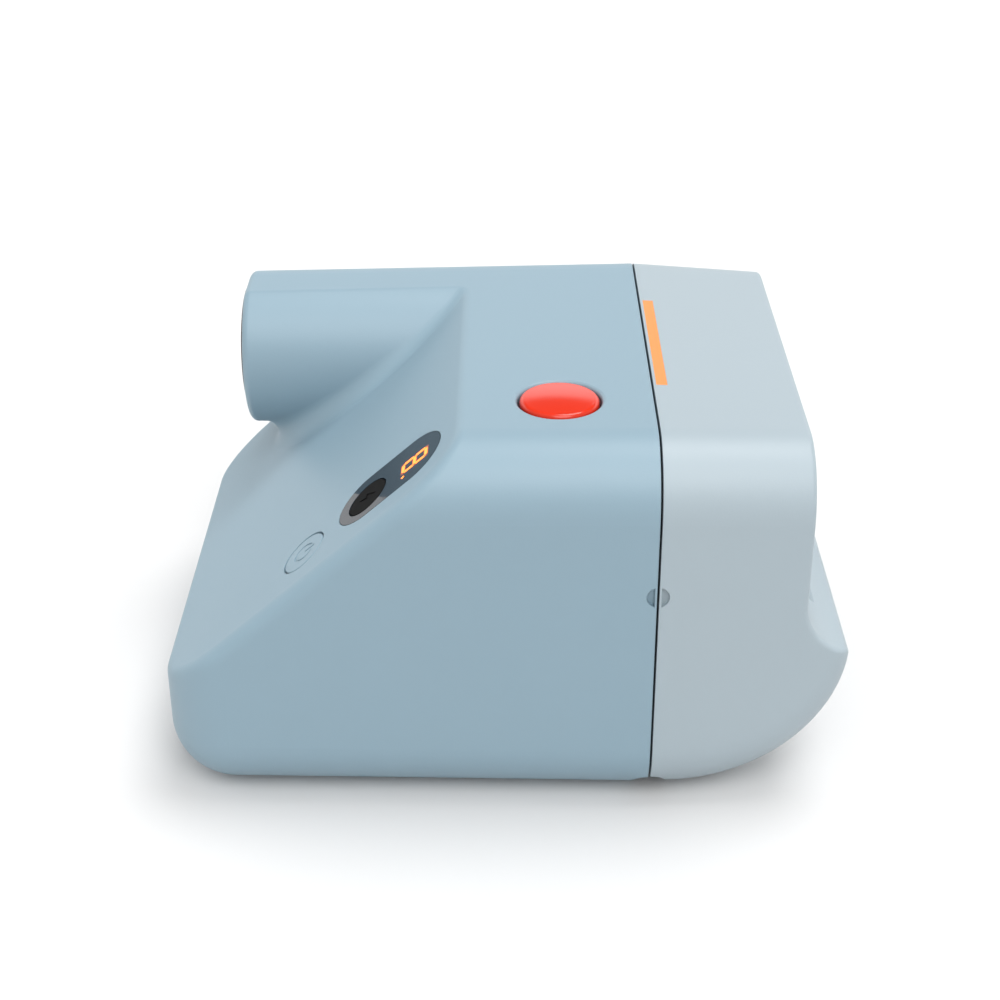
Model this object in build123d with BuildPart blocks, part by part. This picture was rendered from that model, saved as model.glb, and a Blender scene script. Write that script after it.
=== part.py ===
from build123d import *
from math import atan, cos, hypot, pi, radians, sin, sqrt, tan
import os

os.makedirs("parts", exist_ok=True)

# Small moulded instant camera. The lens side faces -Y, up is +Z, and X = 0 is the middle of the body.
# The base is flat at Z = 0. The length runs back from the lip of the front shell.

# Overall sizes
length = 105.0
width = 83.9
height = 61.5
button_proud = 0.4

# Moulded shells
seam_y = -22.85
seam_gap = 0.35
wall = 2.0
side_round = 10.5
side_taper = 1.65
rear_drop = 0.9
side_draft = 0.07
top_draft = 0.045
slope_run = 46.2
slope_foot = 19.734
slope_round = 2.2
front_wall_y = -45.3
chin_radius = 26.3
chin_start = -26.2
lip_round = 3.0
chin_core = 6.0
scoop_radius = 8.5
scoop_top = 36.0
lip_rise = 1.5
front_bevel = 0.8
frame_depth = 2.4
frame_wall = 1.4
fit_gap = 0.2
part_gap = 0.3
trim_gap = 0.12

# Viewfinder
finder_side = 0.95
finder_z = 48.0
finder_radius = 13.4
finder_inset = 8.0
finder_rim = 1.2
finder_valley = 3.0
finder_skin = 2.8
tunnel_space = 2.8
tunnel_wall = 1.2
tunnel_front = -29.0
eyepiece_width = 3.2

# Top button
button_x = -21.5
button_y = -8.6
button_radius = 6.05
button_gap = 0.35
button_ring = 0.6
button_edge = 0.8
button_sag = 0.35
button_travel = 0.8

# Controls on the slope, placed by X and by distance down from the crest
pill_x = -28.8
pill_down = 14.1
pill_length = 20.6
pill_width = 11.7
pill_depth = 1.1
mode_x = -29.2
mode_down = 18.6
mode_radius = 3.6
power_x = -30.7
power_down = 31.8
power_radius = 3.95
key_gap = 0.25
key_travel = 0.5
digit_x = -29.6
digit_down = 8.9
digit_height = 5.2
digit_width = 3.1
digit_stroke = 0.62

# Accent strip, strap hollow and side release
strip_length = 33.3
strip_width = 1.7
strip_offset = 0.45
strip_depth = 0.5
hollow_radius = 1.7
hollow_z = 38.5
hollow_depth = 0.8
bar_width = 1.0
release_y = -8.0
release_z = 30.0
release_length = 11.0
release_height = 5.0

# Charging socket and base screws
socket_y = 14.0
socket_z = 15.0
socket_length = 9.4
socket_height = 3.6
screw_x = 27.0
screw_front = -8.0
screw_rear = 38.0
screw_head = 2.2
screw_depth = 1.2

# Hinge
hinge_z = 1.9
knuckle_radius = 1.9
pin_radius = 0.75
pin_fit = 0.04
knuckle_length = 9.0
knuckle_count = 7
strap_reach = 4.0
rear_groove = 0.65
front_groove = 0.9

# Lens, shutter and windows in the front wall
lens_z = 47.6
bezel_radius = 10.9
bezel_proud = 0.3
lens_opening = 6.2
window_seat = 1.0
flash_x = -27.0
flash_z = 49.5
flash_width = 14.0
flash_height = 9.5
eye_width = 11.0
eye_height = 8.5
sensor_x = -18.0
sensor_z = 39.6
sensor_radius = 1.5

# Film path, rollers and gears
slot_width = 58.0
slot_z = 30.6
slot_height = 2.2
pack_width = 57.0
pack_front = -19.0
pack_length = 62.0
pack_low = 12.6
pack_high = 23.0
frame_width = 46.0
roller_y = -31.0
nip_z = 27.0
film_gap = 0.2
gear_module = 0.57
roller_teeth = 12
idler_teeth = 20
pinion_teeth = 10
gear_width = 2.4
gear_play = 0.12
shaft_fit = 0.05
roller_length = 56.0
plate_wall = 1.2
idler_turn = 27.0
pinion_turn = -46.0
motor_radius = 4.4
motor_length = 20.0

journal_radius = 1.5
idler_pin = 1.2
motor_shaft = 0.8
bezel_neck = 9.0
pane_depth = 1.0

# Inner parts
frame_low = 6.0
tray_wall = 1.4
stack_height = 5.6
frame_mid = 10.0
pick_x = 25.5
pick_width = 2.6
pick_reach = 6.5
pick_travel = 3.6
pick_z = 18.0
screw_shank = 1.1
chamber_wall = 1.3
chamber_front = -21.5
chamber_inset = 10.5
chamber_top = 55.4
chamber_taper = 0.16693
chamber_far = 23.6
mirror_drop = 4.3
shutter_front = -31.5
shutter_aperture = 3.2
blade_y = -29.3
blade_room = 1.8
blade_disc = 3.9
blade_reach = 8.0
blade_pin = 0.7
barrel_radius = 7.6
barrel_bore = 5.2
barrel_front = -41.6
button_stem_z = 54.6
board_drop = 3.7
capacitor_radius = 3.2
board_x = -29.6
board_down = 18.5

# Values that follow from the sizes above
lip_y = chin_start - chin_radius
rear_y = lip_y + length
slope_crest = rear_y - slope_run
finder_end = rear_y - finder_inset
chamber_rear = rear_y - chamber_inset
chamber_near = chamber_far - chamber_taper * (chamber_rear - chamber_front)
half_width = width / 2
finder_x = half_width - finder_radius - finder_side
button_well = button_radius + button_gap
finder_bore = finder_radius - finder_skin
tunnel_radius = finder_bore - tunnel_space
eyepiece_inner = finder_bore - eyepiece_width
top_z = height - button_proud
rear_run = rear_y - seam_y
top_fall = rear_drop / rear_run
side_fall = side_taper / rear_run
crest_z = top_z - top_fall * (slope_crest - seam_y)
slope_tan = (crest_z - slope_foot) / slope_run
slope_cos = 1 / hypot(1, slope_tan)
slope_sin = slope_tan * slope_cos
slope = Plane(origin=(0, slope_crest, crest_z), x_dir=(1, 0, 0), z_dir=(0, slope_sin, slope_cos))
front_trim = seam_y - seam_gap / 2
rear_trim = seam_y + seam_gap / 2
roller_radius = gear_module * roller_teeth / 2 - film_gap / 2
roller_pitch = gear_module * roller_teeth / 2
idler_pitch = gear_module * idler_teeth / 2
pinion_pitch = gear_module * pinion_teeth / 2
lower_z = nip_z - roller_pitch
upper_z = nip_z + roller_pitch
idler_y = roller_y - (roller_pitch + idler_pitch) * sin(radians(idler_turn))
idler_z = lower_z - (roller_pitch + idler_pitch) * cos(radians(idler_turn))
pinion_y = idler_y - (idler_pitch + pinion_pitch) * sin(radians(pinion_turn))
pinion_z = idler_z - (idler_pitch + pinion_pitch) * cos(radians(pinion_turn))
strip_y = front_trim - strip_offset - strip_width / 2
button_flange_z = top_z - top_fall * (button_y + button_well - seam_y) - wall - fit_gap
gear_x = -roller_length / 2 - part_gap - plate_wall - part_gap
pack_mid = pack_front + pack_length / 2
pack_end = pack_front + pack_length
notch_depth = pack_high - pick_z + 1.5
tray_half = pack_width / 2 + fit_gap + tray_wall
tray_top = pack_high + fit_gap


def front_plane(y):
    # An upright plane at one Y: local X is X and local Y is Z.
    return Plane(origin=(0, y, 0), x_dir=(1, 0, 0), z_dir=(0, -1, 0))


def side_plane(x):
    # An upright plane at one X: local X is Y and local Y is Z.
    return Plane(origin=(x, 0, 0), x_dir=(0, 1, 0), z_dir=(1, 0, 0))


def roof(y, inset):
    # Height of the top face at one Y.
    fall = top_fall * (y - seam_y) if y > seam_y else top_draft * (seam_y - y)
    return top_z - inset - fall


def back(y, inset):
    # Height of the sloping back at one Y.
    return crest_z - inset / slope_cos - (y - slope_crest) * slope_tan


def crest(inset):
    # The Y where the top face meets the sloping back.
    level = top_z - inset + top_fall * seam_y
    slant = crest_z - inset / slope_cos + slope_tan * slope_crest
    return (slant - level) / (slope_tan - top_fall)


def rear_block(inset, sloped):
    # The rear housing as a drafted solid block with rounded edges.
    end = rear_y - inset
    with BuildPart() as form:
        with BuildSketch(Plane.YZ):
            with BuildLine():
                if sloped:
                    Polyline((seam_y, inset), (end, inset), (end, back(end, inset)),
                             (crest(inset), roof(crest(inset), inset)),
                             (seam_y, roof(seam_y, inset)), close=True)
                else:
                    Polyline((seam_y, inset), (end, inset), (end, roof(end, inset)),
                             (seam_y, roof(seam_y, inset)), close=True)
            make_face()
        extrude(amount=width, both=True)
        with BuildSketch(Plane.XY):
            with BuildLine():
                near = half_width - inset
                far = half_width - inset - side_fall * (end - seam_y)
                Polyline((-near, seam_y), (near, seam_y), (far, end), (-far, end), close=True)
            make_face()
        extrude(amount=2 * height, mode=Mode.INTERSECT)
        sides = form.edges().filter_by(lambda e: abs((e @ 0.5).X) > half_width - side_taper - inset - 1)
        runs = sides.filter_by(lambda e: abs((e @ 0).Y - (e @ 1).Y) > 10 and abs((e @ 0).Z - (e @ 1).Z) < 5)
        corners = sides.filter_by(lambda e: (e @ 0).Y > end - 0.1 and (e @ 1).Y > end - 0.1)
        foot = form.edges().filter_by(lambda e: (e @ 0.5).Y > end - 0.1 and (e @ 0.5).Z < inset + 0.1)
        fillet(runs + corners + foot, side_round - inset)
    return form.part


def finder_tool():
    # Everything under the slope, joined by a soft valley to a tube that stands out of it.
    tangent = finder_radius * sin(radians(45))
    meet = 2 * tangent + finder_radius
    with BuildPart() as tool:
        with BuildSketch(Plane.YZ):
            with BuildLine():
                start = seam_y - 1
                end = rear_y + 10
                Polyline((start, back(start, 0)), (end, back(end, 0)), (end, -10), (start, -10), close=True)
            make_face()
        extrude(amount=width, both=True)
        with BuildSketch(Plane(origin=(finder_x, finder_end, finder_z), x_dir=(1, 0, 0), z_dir=(0, -1, 0))):
            with BuildLine():
                Line((meet, finder_radius), (0, finder_radius))
                ThreePointArc((0, finder_radius), (-finder_radius, 0), (tangent, -tangent))
                Line((tangent, -tangent), (meet, finder_radius))
            make_face()
        extrude(amount=finder_end + 15)
        on_slope = tool.edges().filter_by(lambda e: abs(slope.to_local_coords(e @ 0.5).Z) < 0.01)
        valley = on_slope.filter_by(lambda e: finder_x - finder_radius < (e @ 0.5).X < finder_x + meet)
        fillet(valley.filter_by(lambda e: -5 < (e @ 0.5).Y - slope_crest < 50), finder_valley)
    return tool.part


def chin_section(turn, inset):
    # One cross-section of the rounded chin, turned about its centre line.
    reach = chin_radius - inset
    start_half = half_width - inset - side_draft * (seam_y - chin_start)
    end_half = start_half - side_draft * reach * sin(radians(turn))
    corner = lip_round + (side_round - lip_round) * cos(radians(turn)) - inset
    origin = (0, chin_start, chin_radius)
    facing = (0, -cos(radians(turn)), sin(radians(turn)))
    with BuildSketch(Plane(origin=origin, x_dir=(1, 0, 0), z_dir=facing)) as section:
        with BuildLine():
            core_half = start_half - side_draft * chin_core * sin(radians(turn))
            Polyline((-core_half, -chin_core), (core_half, -chin_core),
                     (end_half, -reach), (-end_half, -reach), close=True)
        make_face()
        fillet(section.vertices().sort_by(Axis.Y)[:2], corner)
    return section.sketch


def front_form(inset):
    # The front housing as a solid: drafted sides, rounded chin, lip and scooped face.
    near = half_width - inset
    far = near - side_draft * (seam_y - lip_y)
    face = front_wall_y + inset
    bowl = scoop_radius + inset
    lip_z = scoop_top - sqrt(bowl ** 2 - (bowl - (face - lip_y - lip_rise / 2 - inset)) ** 2)
    with BuildPart() as form:
        with BuildSketch(Plane.YZ):
            with BuildLine():
                Polyline((seam_y, chin_radius), (lip_y, chin_radius), (lip_y, roof(lip_y, inset)),
                         (seam_y, roof(seam_y, inset)), close=True)
            make_face()
        extrude(amount=width, both=True)
        with BuildSketch(Plane.XY):
            with BuildLine():
                Polyline((-near, seam_y), (near, seam_y), (far, lip_y), (-far, lip_y), close=True)
            make_face()
        extrude(amount=2 * height, mode=Mode.INTERSECT)
        high = form.edges().filter_by(lambda e: (e @ 0.5).Z > height - side_round)
        fillet(high.filter_by(lambda e: abs((e @ 0.5).X) > width / 4), side_round - inset)
        with BuildSketch(Plane.XY) as plan:
            with BuildLine():
                tip = far + side_draft * inset
                Polyline((-near, seam_y), (near, seam_y),
                         (tip, lip_y + inset), (-tip, lip_y + inset), close=True)
            make_face()
            fillet(plan.vertices().sort_by(Axis.Y)[:2], lip_round - inset)
        extrude(amount=2 * height, mode=Mode.INTERSECT)
        with BuildSketch(Plane.YZ):
            with BuildLine():
                Line((seam_y, 0), (lip_y + inset, 0))
                Line((lip_y + inset, 0), (lip_y + inset, chin_radius))
                Line((lip_y + inset, chin_radius), (lip_y + inset + lip_rise / 2, lip_z))
                RadiusArc((lip_y + inset + lip_rise / 2, lip_z), (face, scoop_top), -bowl)
                Line((face, scoop_top), (face, 2 * height))
                Line((face, 2 * height), (seam_y, 2 * height))
                Line((seam_y, 2 * height), (seam_y, 0))
            make_face()
        extrude(amount=width, both=True, mode=Mode.INTERSECT)
        if inset == 0:
            brow = form.edges().filter_by(lambda e: (e @ 0.5).Z > scoop_top + 0.1)
            fillet(brow.filter_by(lambda e: abs((e @ 0).Y + (e @ 1).Y - 2 * face) < 0.01), front_bevel)
    with BuildPart() as neck:
        for y in (seam_y, chin_start):
            side = half_width - inset - side_draft * (seam_y - y)
            with BuildSketch(front_plane(y)) as throat:
                with Locations((0, (inset + chin_radius) / 2)):
                    Rectangle(2 * side, chin_radius - inset)
                fillet(throat.vertices().sort_by(Axis.Y)[:2], side_round - inset)
        loft()
    with BuildPart() as core:
        with BuildSketch(Plane.YZ):
            with BuildLine():
                reach = chin_core + 1
                Line((chin_start, chin_radius), (chin_start, chin_radius - reach))
                RadiusArc((chin_start, chin_radius - reach), (chin_start - reach, chin_radius), reach)
                Line((chin_start - reach, chin_radius), (chin_start, chin_radius))
            make_face()
        extrude(amount=width, both=True)
        with BuildSketch(Plane.XY):
            with BuildLine():
                Polyline((-near, seam_y), (near, seam_y), (far, lip_y), (-far, lip_y), close=True)
            make_face()
        extrude(amount=2 * height, mode=Mode.INTERSECT)
    with BuildPart() as chin:
        for step in range(7):
            add(chin_section(15 * step, inset))
        loft()
    return form.part + neck.part + core.part + chin.part


def hinge_spans(first):
    # Middle positions along X of every second hinge knuckle.
    return [(k - (knuckle_count - 1) / 2) * knuckle_length for k in range(first, knuckle_count, 2)]


def hinge_plane(x):
    # Across the hinge line at one X, with the hinge pin at its origin.
    return Plane(origin=(x, seam_y, hinge_z), x_dir=(0, 1, 0), z_dir=(1, 0, 0))


def icon_plane(x, down):
    # On the slope, turned so that a sign reads upright from behind the camera.
    return Plane(origin=slope.from_local_coords((x, down, 0)), x_dir=(-1, 0, 0), z_dir=slope.z_dir)


def slot_box(x, y, z, dx, dy, dz, mode=Mode.ADD):
    # A plain block or opening by its middle and its three sizes.
    with Locations((x, y, z)):
        return Box(dx, dy, dz, mode=mode)


def export_part(built, name):
    built.part.label = name
    export_step(built.part, "parts/" + name + ".step")


def tongue(inset):
    # A short rounded plug that bridges the seam.
    with BuildPart() as plug:
        with BuildSketch(front_plane(rear_trim + 3.5)) as section:
            with Locations((0, top_z / 2)):
                Rectangle(2 * (half_width - inset), top_z - 2 * inset)
            fillet(section.vertices(), side_round - inset)
        extrude(amount=3.5 + seam_gap + frame_depth)
    return plug.part


def chamber(inset):
    # The tapering chamber between lens and film, open at the foot.
    with BuildPart() as form:
        with BuildSketch(Plane.YZ):
            with BuildLine():
                skin = wall + 1.0 + inset
                crown = chamber_top - inset
                ridge = slope_crest + (crest_z - skin / slope_cos - crown) / slope_tan
                end = chamber_rear - inset
                floor = pack_high + fit_gap if inset == 0 else 0
                Polyline((chamber_front + inset, floor), (end, floor), (end, back(end, skin)),
                         (ridge, crown), (chamber_front + inset, crown), close=True)
            make_face()
        extrude(amount=width, both=True)
        with BuildSketch(Plane.XY):
            with BuildLine():
                near = chamber_near - inset
                far = chamber_far - inset
                Polyline((-near, chamber_front), (near, chamber_front),
                         (far, chamber_rear), (-far, chamber_rear), close=True)
            make_face()
        extrude(amount=2 * height, mode=Mode.INTERSECT)
    return form.part


def half_sag(radius, sag):
    # Height of a spherical cap above its rim, half way out from its middle.
    ball = (radius ** 2 + sag ** 2) / 2 / sag
    return sag - ball + sqrt(ball ** 2 - radius ** 2 / 4)


def digit_shape():
    # A plain seven-segment figure with a point, seen upright from behind the camera.
    with BuildSketch() as figure:
        bar = digit_width - 1.6 * digit_stroke
        post = digit_height / 2 - 1.3 * digit_stroke
        for k in (-1, 0, 1):
            with Locations((digit_x, digit_down + k * (digit_height - digit_stroke) / 2)):
                Rectangle(bar, digit_stroke)
        for side in (-1, 1):
            for k in (-1, 1):
                column = digit_x + side * (digit_width - digit_stroke) / 2
                with Locations((column, digit_down + k * digit_height / 4)):
                    Rectangle(digit_stroke, post)
        with Locations((digit_x - digit_width / 2 - 1.1, digit_down + digit_height / 2 - 0.35)):
            Circle(0.35)
    return figure.sketch


def gear_points(teeth, phase):
    # Outline of an involute gear: tooth flanks sampled from root to tip.
    pitch = gear_module * teeth / 2
    base = pitch * cos(radians(20))
    root = pitch - 1.2 * gear_module
    tip = pitch + 0.9 * gear_module
    half = pi / 2 / teeth - gear_play / 2 / pitch
    start = max(base, root)
    flank = []
    for k in range(5):
        r = start + (tip - start) * k / 4
        lean = sqrt((r / base) ** 2 - 1) - atan(sqrt((r / base) ** 2 - 1))
        lean_at_pitch = tan(radians(20)) - radians(20)
        flank.append((r, half + lean_at_pitch - lean))
    rise = [(root, flank[0][1] + 0.01)] + flank
    points = []
    for tooth in range(teeth):
        middle = radians(phase) + 2 * pi * tooth / teeth
        for r, turn in rise:
            points.append((r * cos(middle - turn), r * sin(middle - turn)))
        for r, turn in reversed(rise):
            points.append((r * cos(middle + turn), r * sin(middle + turn)))
    return points


def mesh_phase(phase, teeth, other_teeth, direction):
    # The turn of a second gear so that its gap meets a tooth of the first one.
    share = (direction - phase) / (360 / teeth)
    return direction + 180 - (360 / other_teeth) * (0.5 - share)


# Rear shell: rounded block with a sloping back and the viewfinder tube
with BuildPart() as rear_shell:
    add(rear_block(0, False))
    add(finder_tool(), mode=Mode.INTERSECT)
    flats = rear_shell.faces().filter_by(GeomType.PLANE)
    back_face = flats.filter_by(lambda f: (f.normal_at() - slope.z_dir).length < 0.01)[0]
    valley_low = finder_z - finder_radius - 12
    rims = back_face.edges()
    fillet(rims.filter_by(lambda e: (e @ 0.5).Z < valley_low or (e @ 0.5).X < 0
                          or (e @ 0.5).Y < slope_crest + 0.5), slope_round)
    ends = rear_shell.faces().filter_by(GeomType.PLANE).filter_by(
        lambda f: abs(f.center().Y - finder_end) < 0.01 and f.center().Z > 40)
    fillet(ends[0].edges(), finder_rim)
    add(rear_block(wall, True), mode=Mode.SUBTRACT)
    slot_box(0, seam_y, height / 2, 2 * width, seam_gap, 2 * height, Mode.SUBTRACT)
    # bore for the eyepiece and the viewfinder tunnel
    with BuildSketch(front_plane(finder_end + 1)):
        with Locations((finder_x, finder_z)):
            Circle(finder_bore)
    extrude(amount=finder_end + 1 - slope_crest, mode=Mode.SUBTRACT)
    # well for the button on top, with a soft dished ring
    with Locations((button_x, button_y, height)):
        Hole(button_well, depth=2 * wall)
    ring = rear_shell.edges().filter_by(lambda e: (e @ 0.5).Z > roof(button_y, 0) - 0.8 and abs(
        hypot((e @ 0.5).X - button_x, (e @ 0.5).Y - button_y) - button_well) < 0.3)
    fillet(ring, button_ring)
    # seats for the display window and both keys on the slope
    with BuildSketch(slope):
        with Locations((pill_x, pill_down)):
            SlotOverall(pill_length + 2 * trim_gap, pill_width + 2 * trim_gap, rotation=90)
    extrude(amount=-pill_depth, mode=Mode.SUBTRACT)
    with BuildSketch(slope):
        with Locations((mode_x, mode_down)):
            Circle(mode_radius - 0.6)
        with Locations((power_x, power_down)):
            Circle(power_radius + key_gap)
    extrude(amount=-3 * wall, mode=Mode.SUBTRACT)
    # strap hollows on the seam, each crossed by a thin bar
    for side in (-1, 1):
        with BuildSketch(side_plane(side * half_width)):
            with Locations((seam_y, hollow_z)):
                Circle(hollow_radius)
                Rectangle(bar_width, 2 * hollow_radius + 1, mode=Mode.SUBTRACT)
        extrude(amount=-side * hollow_depth, both=True, mode=Mode.SUBTRACT)
    # release key and charging socket on the far side
    with BuildSketch(side_plane(half_width)):
        with Locations((release_y, release_z)):
            SlotOverall(release_length + 2 * key_gap, release_height + 2 * key_gap)
        with Locations((socket_y, socket_z)):
            SlotOverall(socket_length, socket_height)
    extrude(amount=-2 * wall, mode=Mode.SUBTRACT)
    # screw seats in the base
    for x in (-screw_x, screw_x):
        for y in (screw_front, screw_rear):
            with BuildSketch(Plane.XY):
                with Locations((x, y)):
                    Circle(screw_head + trim_gap)
            extrude(amount=screw_depth, mode=Mode.SUBTRACT)
    # hinge knuckles in a groove along the front of the base
    with BuildSketch(hinge_plane(-width)):
        Circle(knuckle_radius + rear_groove)
    extrude(amount=2 * width, mode=Mode.SUBTRACT)
    for x in hinge_spans(0):
        with BuildSketch(hinge_plane(x - knuckle_length / 2 + part_gap / 2)):
            Circle(knuckle_radius)
            with BuildLine():
                Polyline((0, -knuckle_radius), (strap_reach, -knuckle_radius),
                         (strap_reach, 0.1), (0, knuckle_radius), close=True)
            make_face()
            Circle(pin_radius, mode=Mode.SUBTRACT)
        extrude(amount=knuckle_length - part_gap)
    # bosses that carry the key board under the slope
    for x in (board_x - 5.0, board_x + 5.0):
        with BuildSketch(slope.offset(-board_drop)):
            with Locations((x, board_down + 9.0)):
                Circle(1.1)
        extrude(amount=board_drop - wall / 2)
    # clearance holes for the base screws
    with BuildSketch(Plane.XY):
        with GridLocations(2 * screw_x, screw_rear - screw_front, 2, 2):
            with Locations((0, (screw_front + screw_rear) / 2)):
                Circle(screw_shank)
    extrude(amount=2 * wall, mode=Mode.SUBTRACT)
export_part(rear_shell, "rear_shell")

# Dark frame inside the seam: it fills the gap between the shells and keeps light out
with BuildPart() as seam_frame:
    add(rear_block(wall, True))
    slot_box(0, rear_trim + 2.0, 0, 2 * width, 3.0, 4 * height, Mode.INTERSECT)
    add(tongue(wall + fit_gap + 0.2))
    add(tongue(wall + fit_gap + 0.2 + frame_wall), mode=Mode.SUBTRACT)
    slot_box(0, seam_y, 0, 2 * width, 40, 2 * frame_low, Mode.SUBTRACT)
export_part(seam_frame, "seam_frame")

# Film tray: floor, side guides and four posts down to the base
with BuildPart() as film_tray:
    slot_box(0, pack_mid, pack_low - tray_wall / 2, 2 * tray_half, pack_length + 1, tray_wall)
    for side in (-1, 1):
        slot_box(side * (tray_half - tray_wall / 2), pack_mid, (pack_low - tray_wall + tray_top) / 2,
                 tray_wall, pack_length + 1, tray_top - pack_low + tray_wall)
    for x in (-screw_x, screw_x):
        for y in (screw_front, screw_rear):
            with BuildSketch(Plane.XY.offset(wall)):
                with Locations((x, y)):
                    Circle(2.6)
            extrude(amount=pack_low - tray_wall - wall)
            with BuildSketch(Plane.XY.offset(wall)):
                with Locations((x, y)):
                    Circle(screw_shank - 0.1)
            extrude(amount=7, mode=Mode.SUBTRACT)
export_part(film_tray, "film_tray")

# Four countersunk base screws
with BuildPart() as base_screws:
    for x in (-screw_x, screw_x):
        for y in (screw_front, screw_rear):
            with BuildSketch(Plane.XY.offset(0.15)):
                with Locations((x, y)):
                    Circle(screw_head)
            extrude(amount=screw_depth - 0.15)
            with BuildSketch(Plane.XY.offset(0.15)):
                with Locations((x, y)):
                    Rectangle(2.6, 0.5)
                    Rectangle(0.5, 2.6)
            extrude(amount=0.6, mode=Mode.SUBTRACT)
            with BuildSketch(Plane.XY.offset(screw_depth)):
                with Locations((x, y)):
                    Circle(screw_shank - 0.1)
            extrude(amount=7)
export_part(base_screws, "base_screws")

# Film cartridge with its window, exit slot and the notch for the film pick
with BuildPart() as film_cartridge:
    slot_box(0, pack_mid, (pack_low + pack_high) / 2, pack_width, pack_length, pack_high - pack_low)
    fillet(film_cartridge.edges().filter_by(Axis.Z), 1.5)
    slot_box(0, pack_mid, (pack_low + pack_high) / 2, pack_width - 2.4, pack_length - 2.4,
             pack_high - pack_low - 2.4, Mode.SUBTRACT)
    slot_box(0, frame_mid, pack_high, frame_width, frame_width, 4, Mode.SUBTRACT)
    slot_box(0, pack_front, pack_high - 2.0, pack_width - 3.4, 4, 1.4, Mode.SUBTRACT)
    slot_box(pick_x, pack_end, pack_high, pick_width + 2, 2 * pick_reach, 2 * notch_depth, Mode.SUBTRACT)
export_part(film_cartridge, "film_cartridge")

# Stack of eight film sheets in the cartridge
with BuildPart() as film_stack:
    slot_box(0, pack_mid - 0.6, pack_high - 1.35 - stack_height / 2, pack_width - 3.6, pack_length - 4.4,
             stack_height)
    slot_box(pick_x, pack_end, pack_high, pick_width + 2, 2 * pick_reach, 2 * notch_depth, Mode.SUBTRACT)
export_part(film_stack, "film_stack")

# Pick arm that pushes the top sheet into the rollers
with BuildPart() as pick_arm:
    arm_x = tray_half + part_gap + 0.5
    bar_y = pack_end + pick_travel + 1.2
    slot_box(arm_x, bar_y - 16, pick_z, 1.0, 33.2, 2.0)
    bar_start = pick_x - pick_width / 2
    bar_stop = arm_x + 0.5
    slot_box((bar_start + bar_stop) / 2, bar_y, pick_z, bar_stop - bar_start, 1.2, 2.0)
    slot_box(pick_x, (bar_y + pack_end - 1.4) / 2, pick_z, pick_width, bar_y - pack_end + 1.4, 2.0)
    claw = pack_high - pick_z + 0.6
    slot_box(pick_x, pack_end - 0.9, pick_z - 1.0 + claw / 2, pick_width, 1.0, claw)
export_part(pick_arm, "pick_arm")

# Dark chamber between the lens and the film
with BuildPart() as dark_box:
    add(chamber(0))
    add(chamber(chamber_wall), mode=Mode.SUBTRACT)
    slot_box(0, chamber_front, lens_z, 2 * shutter_aperture + 6, 4, 2 * shutter_aperture + 6, Mode.SUBTRACT)
    slot_box(0, pack_mid, tray_top + 0.5, 2 * tray_half, pack_length - 1, 1.0)
    slot_box(0, frame_mid, tray_top + 0.5, frame_width, frame_width, 3.0, Mode.SUBTRACT)
    slot_box(pick_x, pack_end, tray_top + 0.5, pick_width + 2, 2 * pick_reach, 3.0, Mode.SUBTRACT)
export_part(dark_box, "dark_box")

# Folding mirror under the slope
with BuildPart() as mirror:
    with BuildSketch(slope.offset(-mirror_drop)):
        with BuildLine():
            Polyline((-13.5, 10), (13.5, 10), (19.5, 40), (-19.5, 40), close=True)
        make_face()
    extrude(amount=-1.2)
export_part(mirror, "mirror")

# Shutter housing on the front of the chamber
with BuildPart() as shutter_housing:
    slot_box(0, (shutter_front + chamber_front) / 2, lens_z - 1.2, 25.6, chamber_front - shutter_front, 19.4)
    fillet(shutter_housing.edges().filter_by(Axis.Y), 1.5)
    slot_box(0, blade_y, lens_z - 2.8, 22.4, blade_room, 15.0, Mode.SUBTRACT)
    with BuildSketch(front_plane(chamber_front)):
        with Locations((0, lens_z)):
            Circle(shutter_aperture)
    extrude(amount=20, mode=Mode.SUBTRACT)
    with BuildSketch(front_plane(blade_y + blade_room / 2 + 0.5)):
        with Locations((0, lens_z - blade_reach)):
            Circle(blade_pin)
    extrude(amount=blade_room + 1)
export_part(shutter_housing, "shutter_housing")

# Two shutter blades on one pivot pin
for name, y in (("shutter_blade_a", blade_y - 0.45), ("shutter_blade_b", blade_y + 0.15)):
    with BuildPart() as shutter_blade:
        with BuildSketch(front_plane(y + 0.3)):
            with Locations((0, lens_z)):
                Circle(blade_disc)
            with Locations((0, lens_z - blade_reach / 2)):
                Rectangle(3.0, blade_reach)
            with Locations((0, lens_z - blade_reach)):
                Circle(1.8)
                Circle(blade_pin + shaft_fit, mode=Mode.SUBTRACT)
        extrude(amount=0.3)
    export_part(shutter_blade, name)

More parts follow.
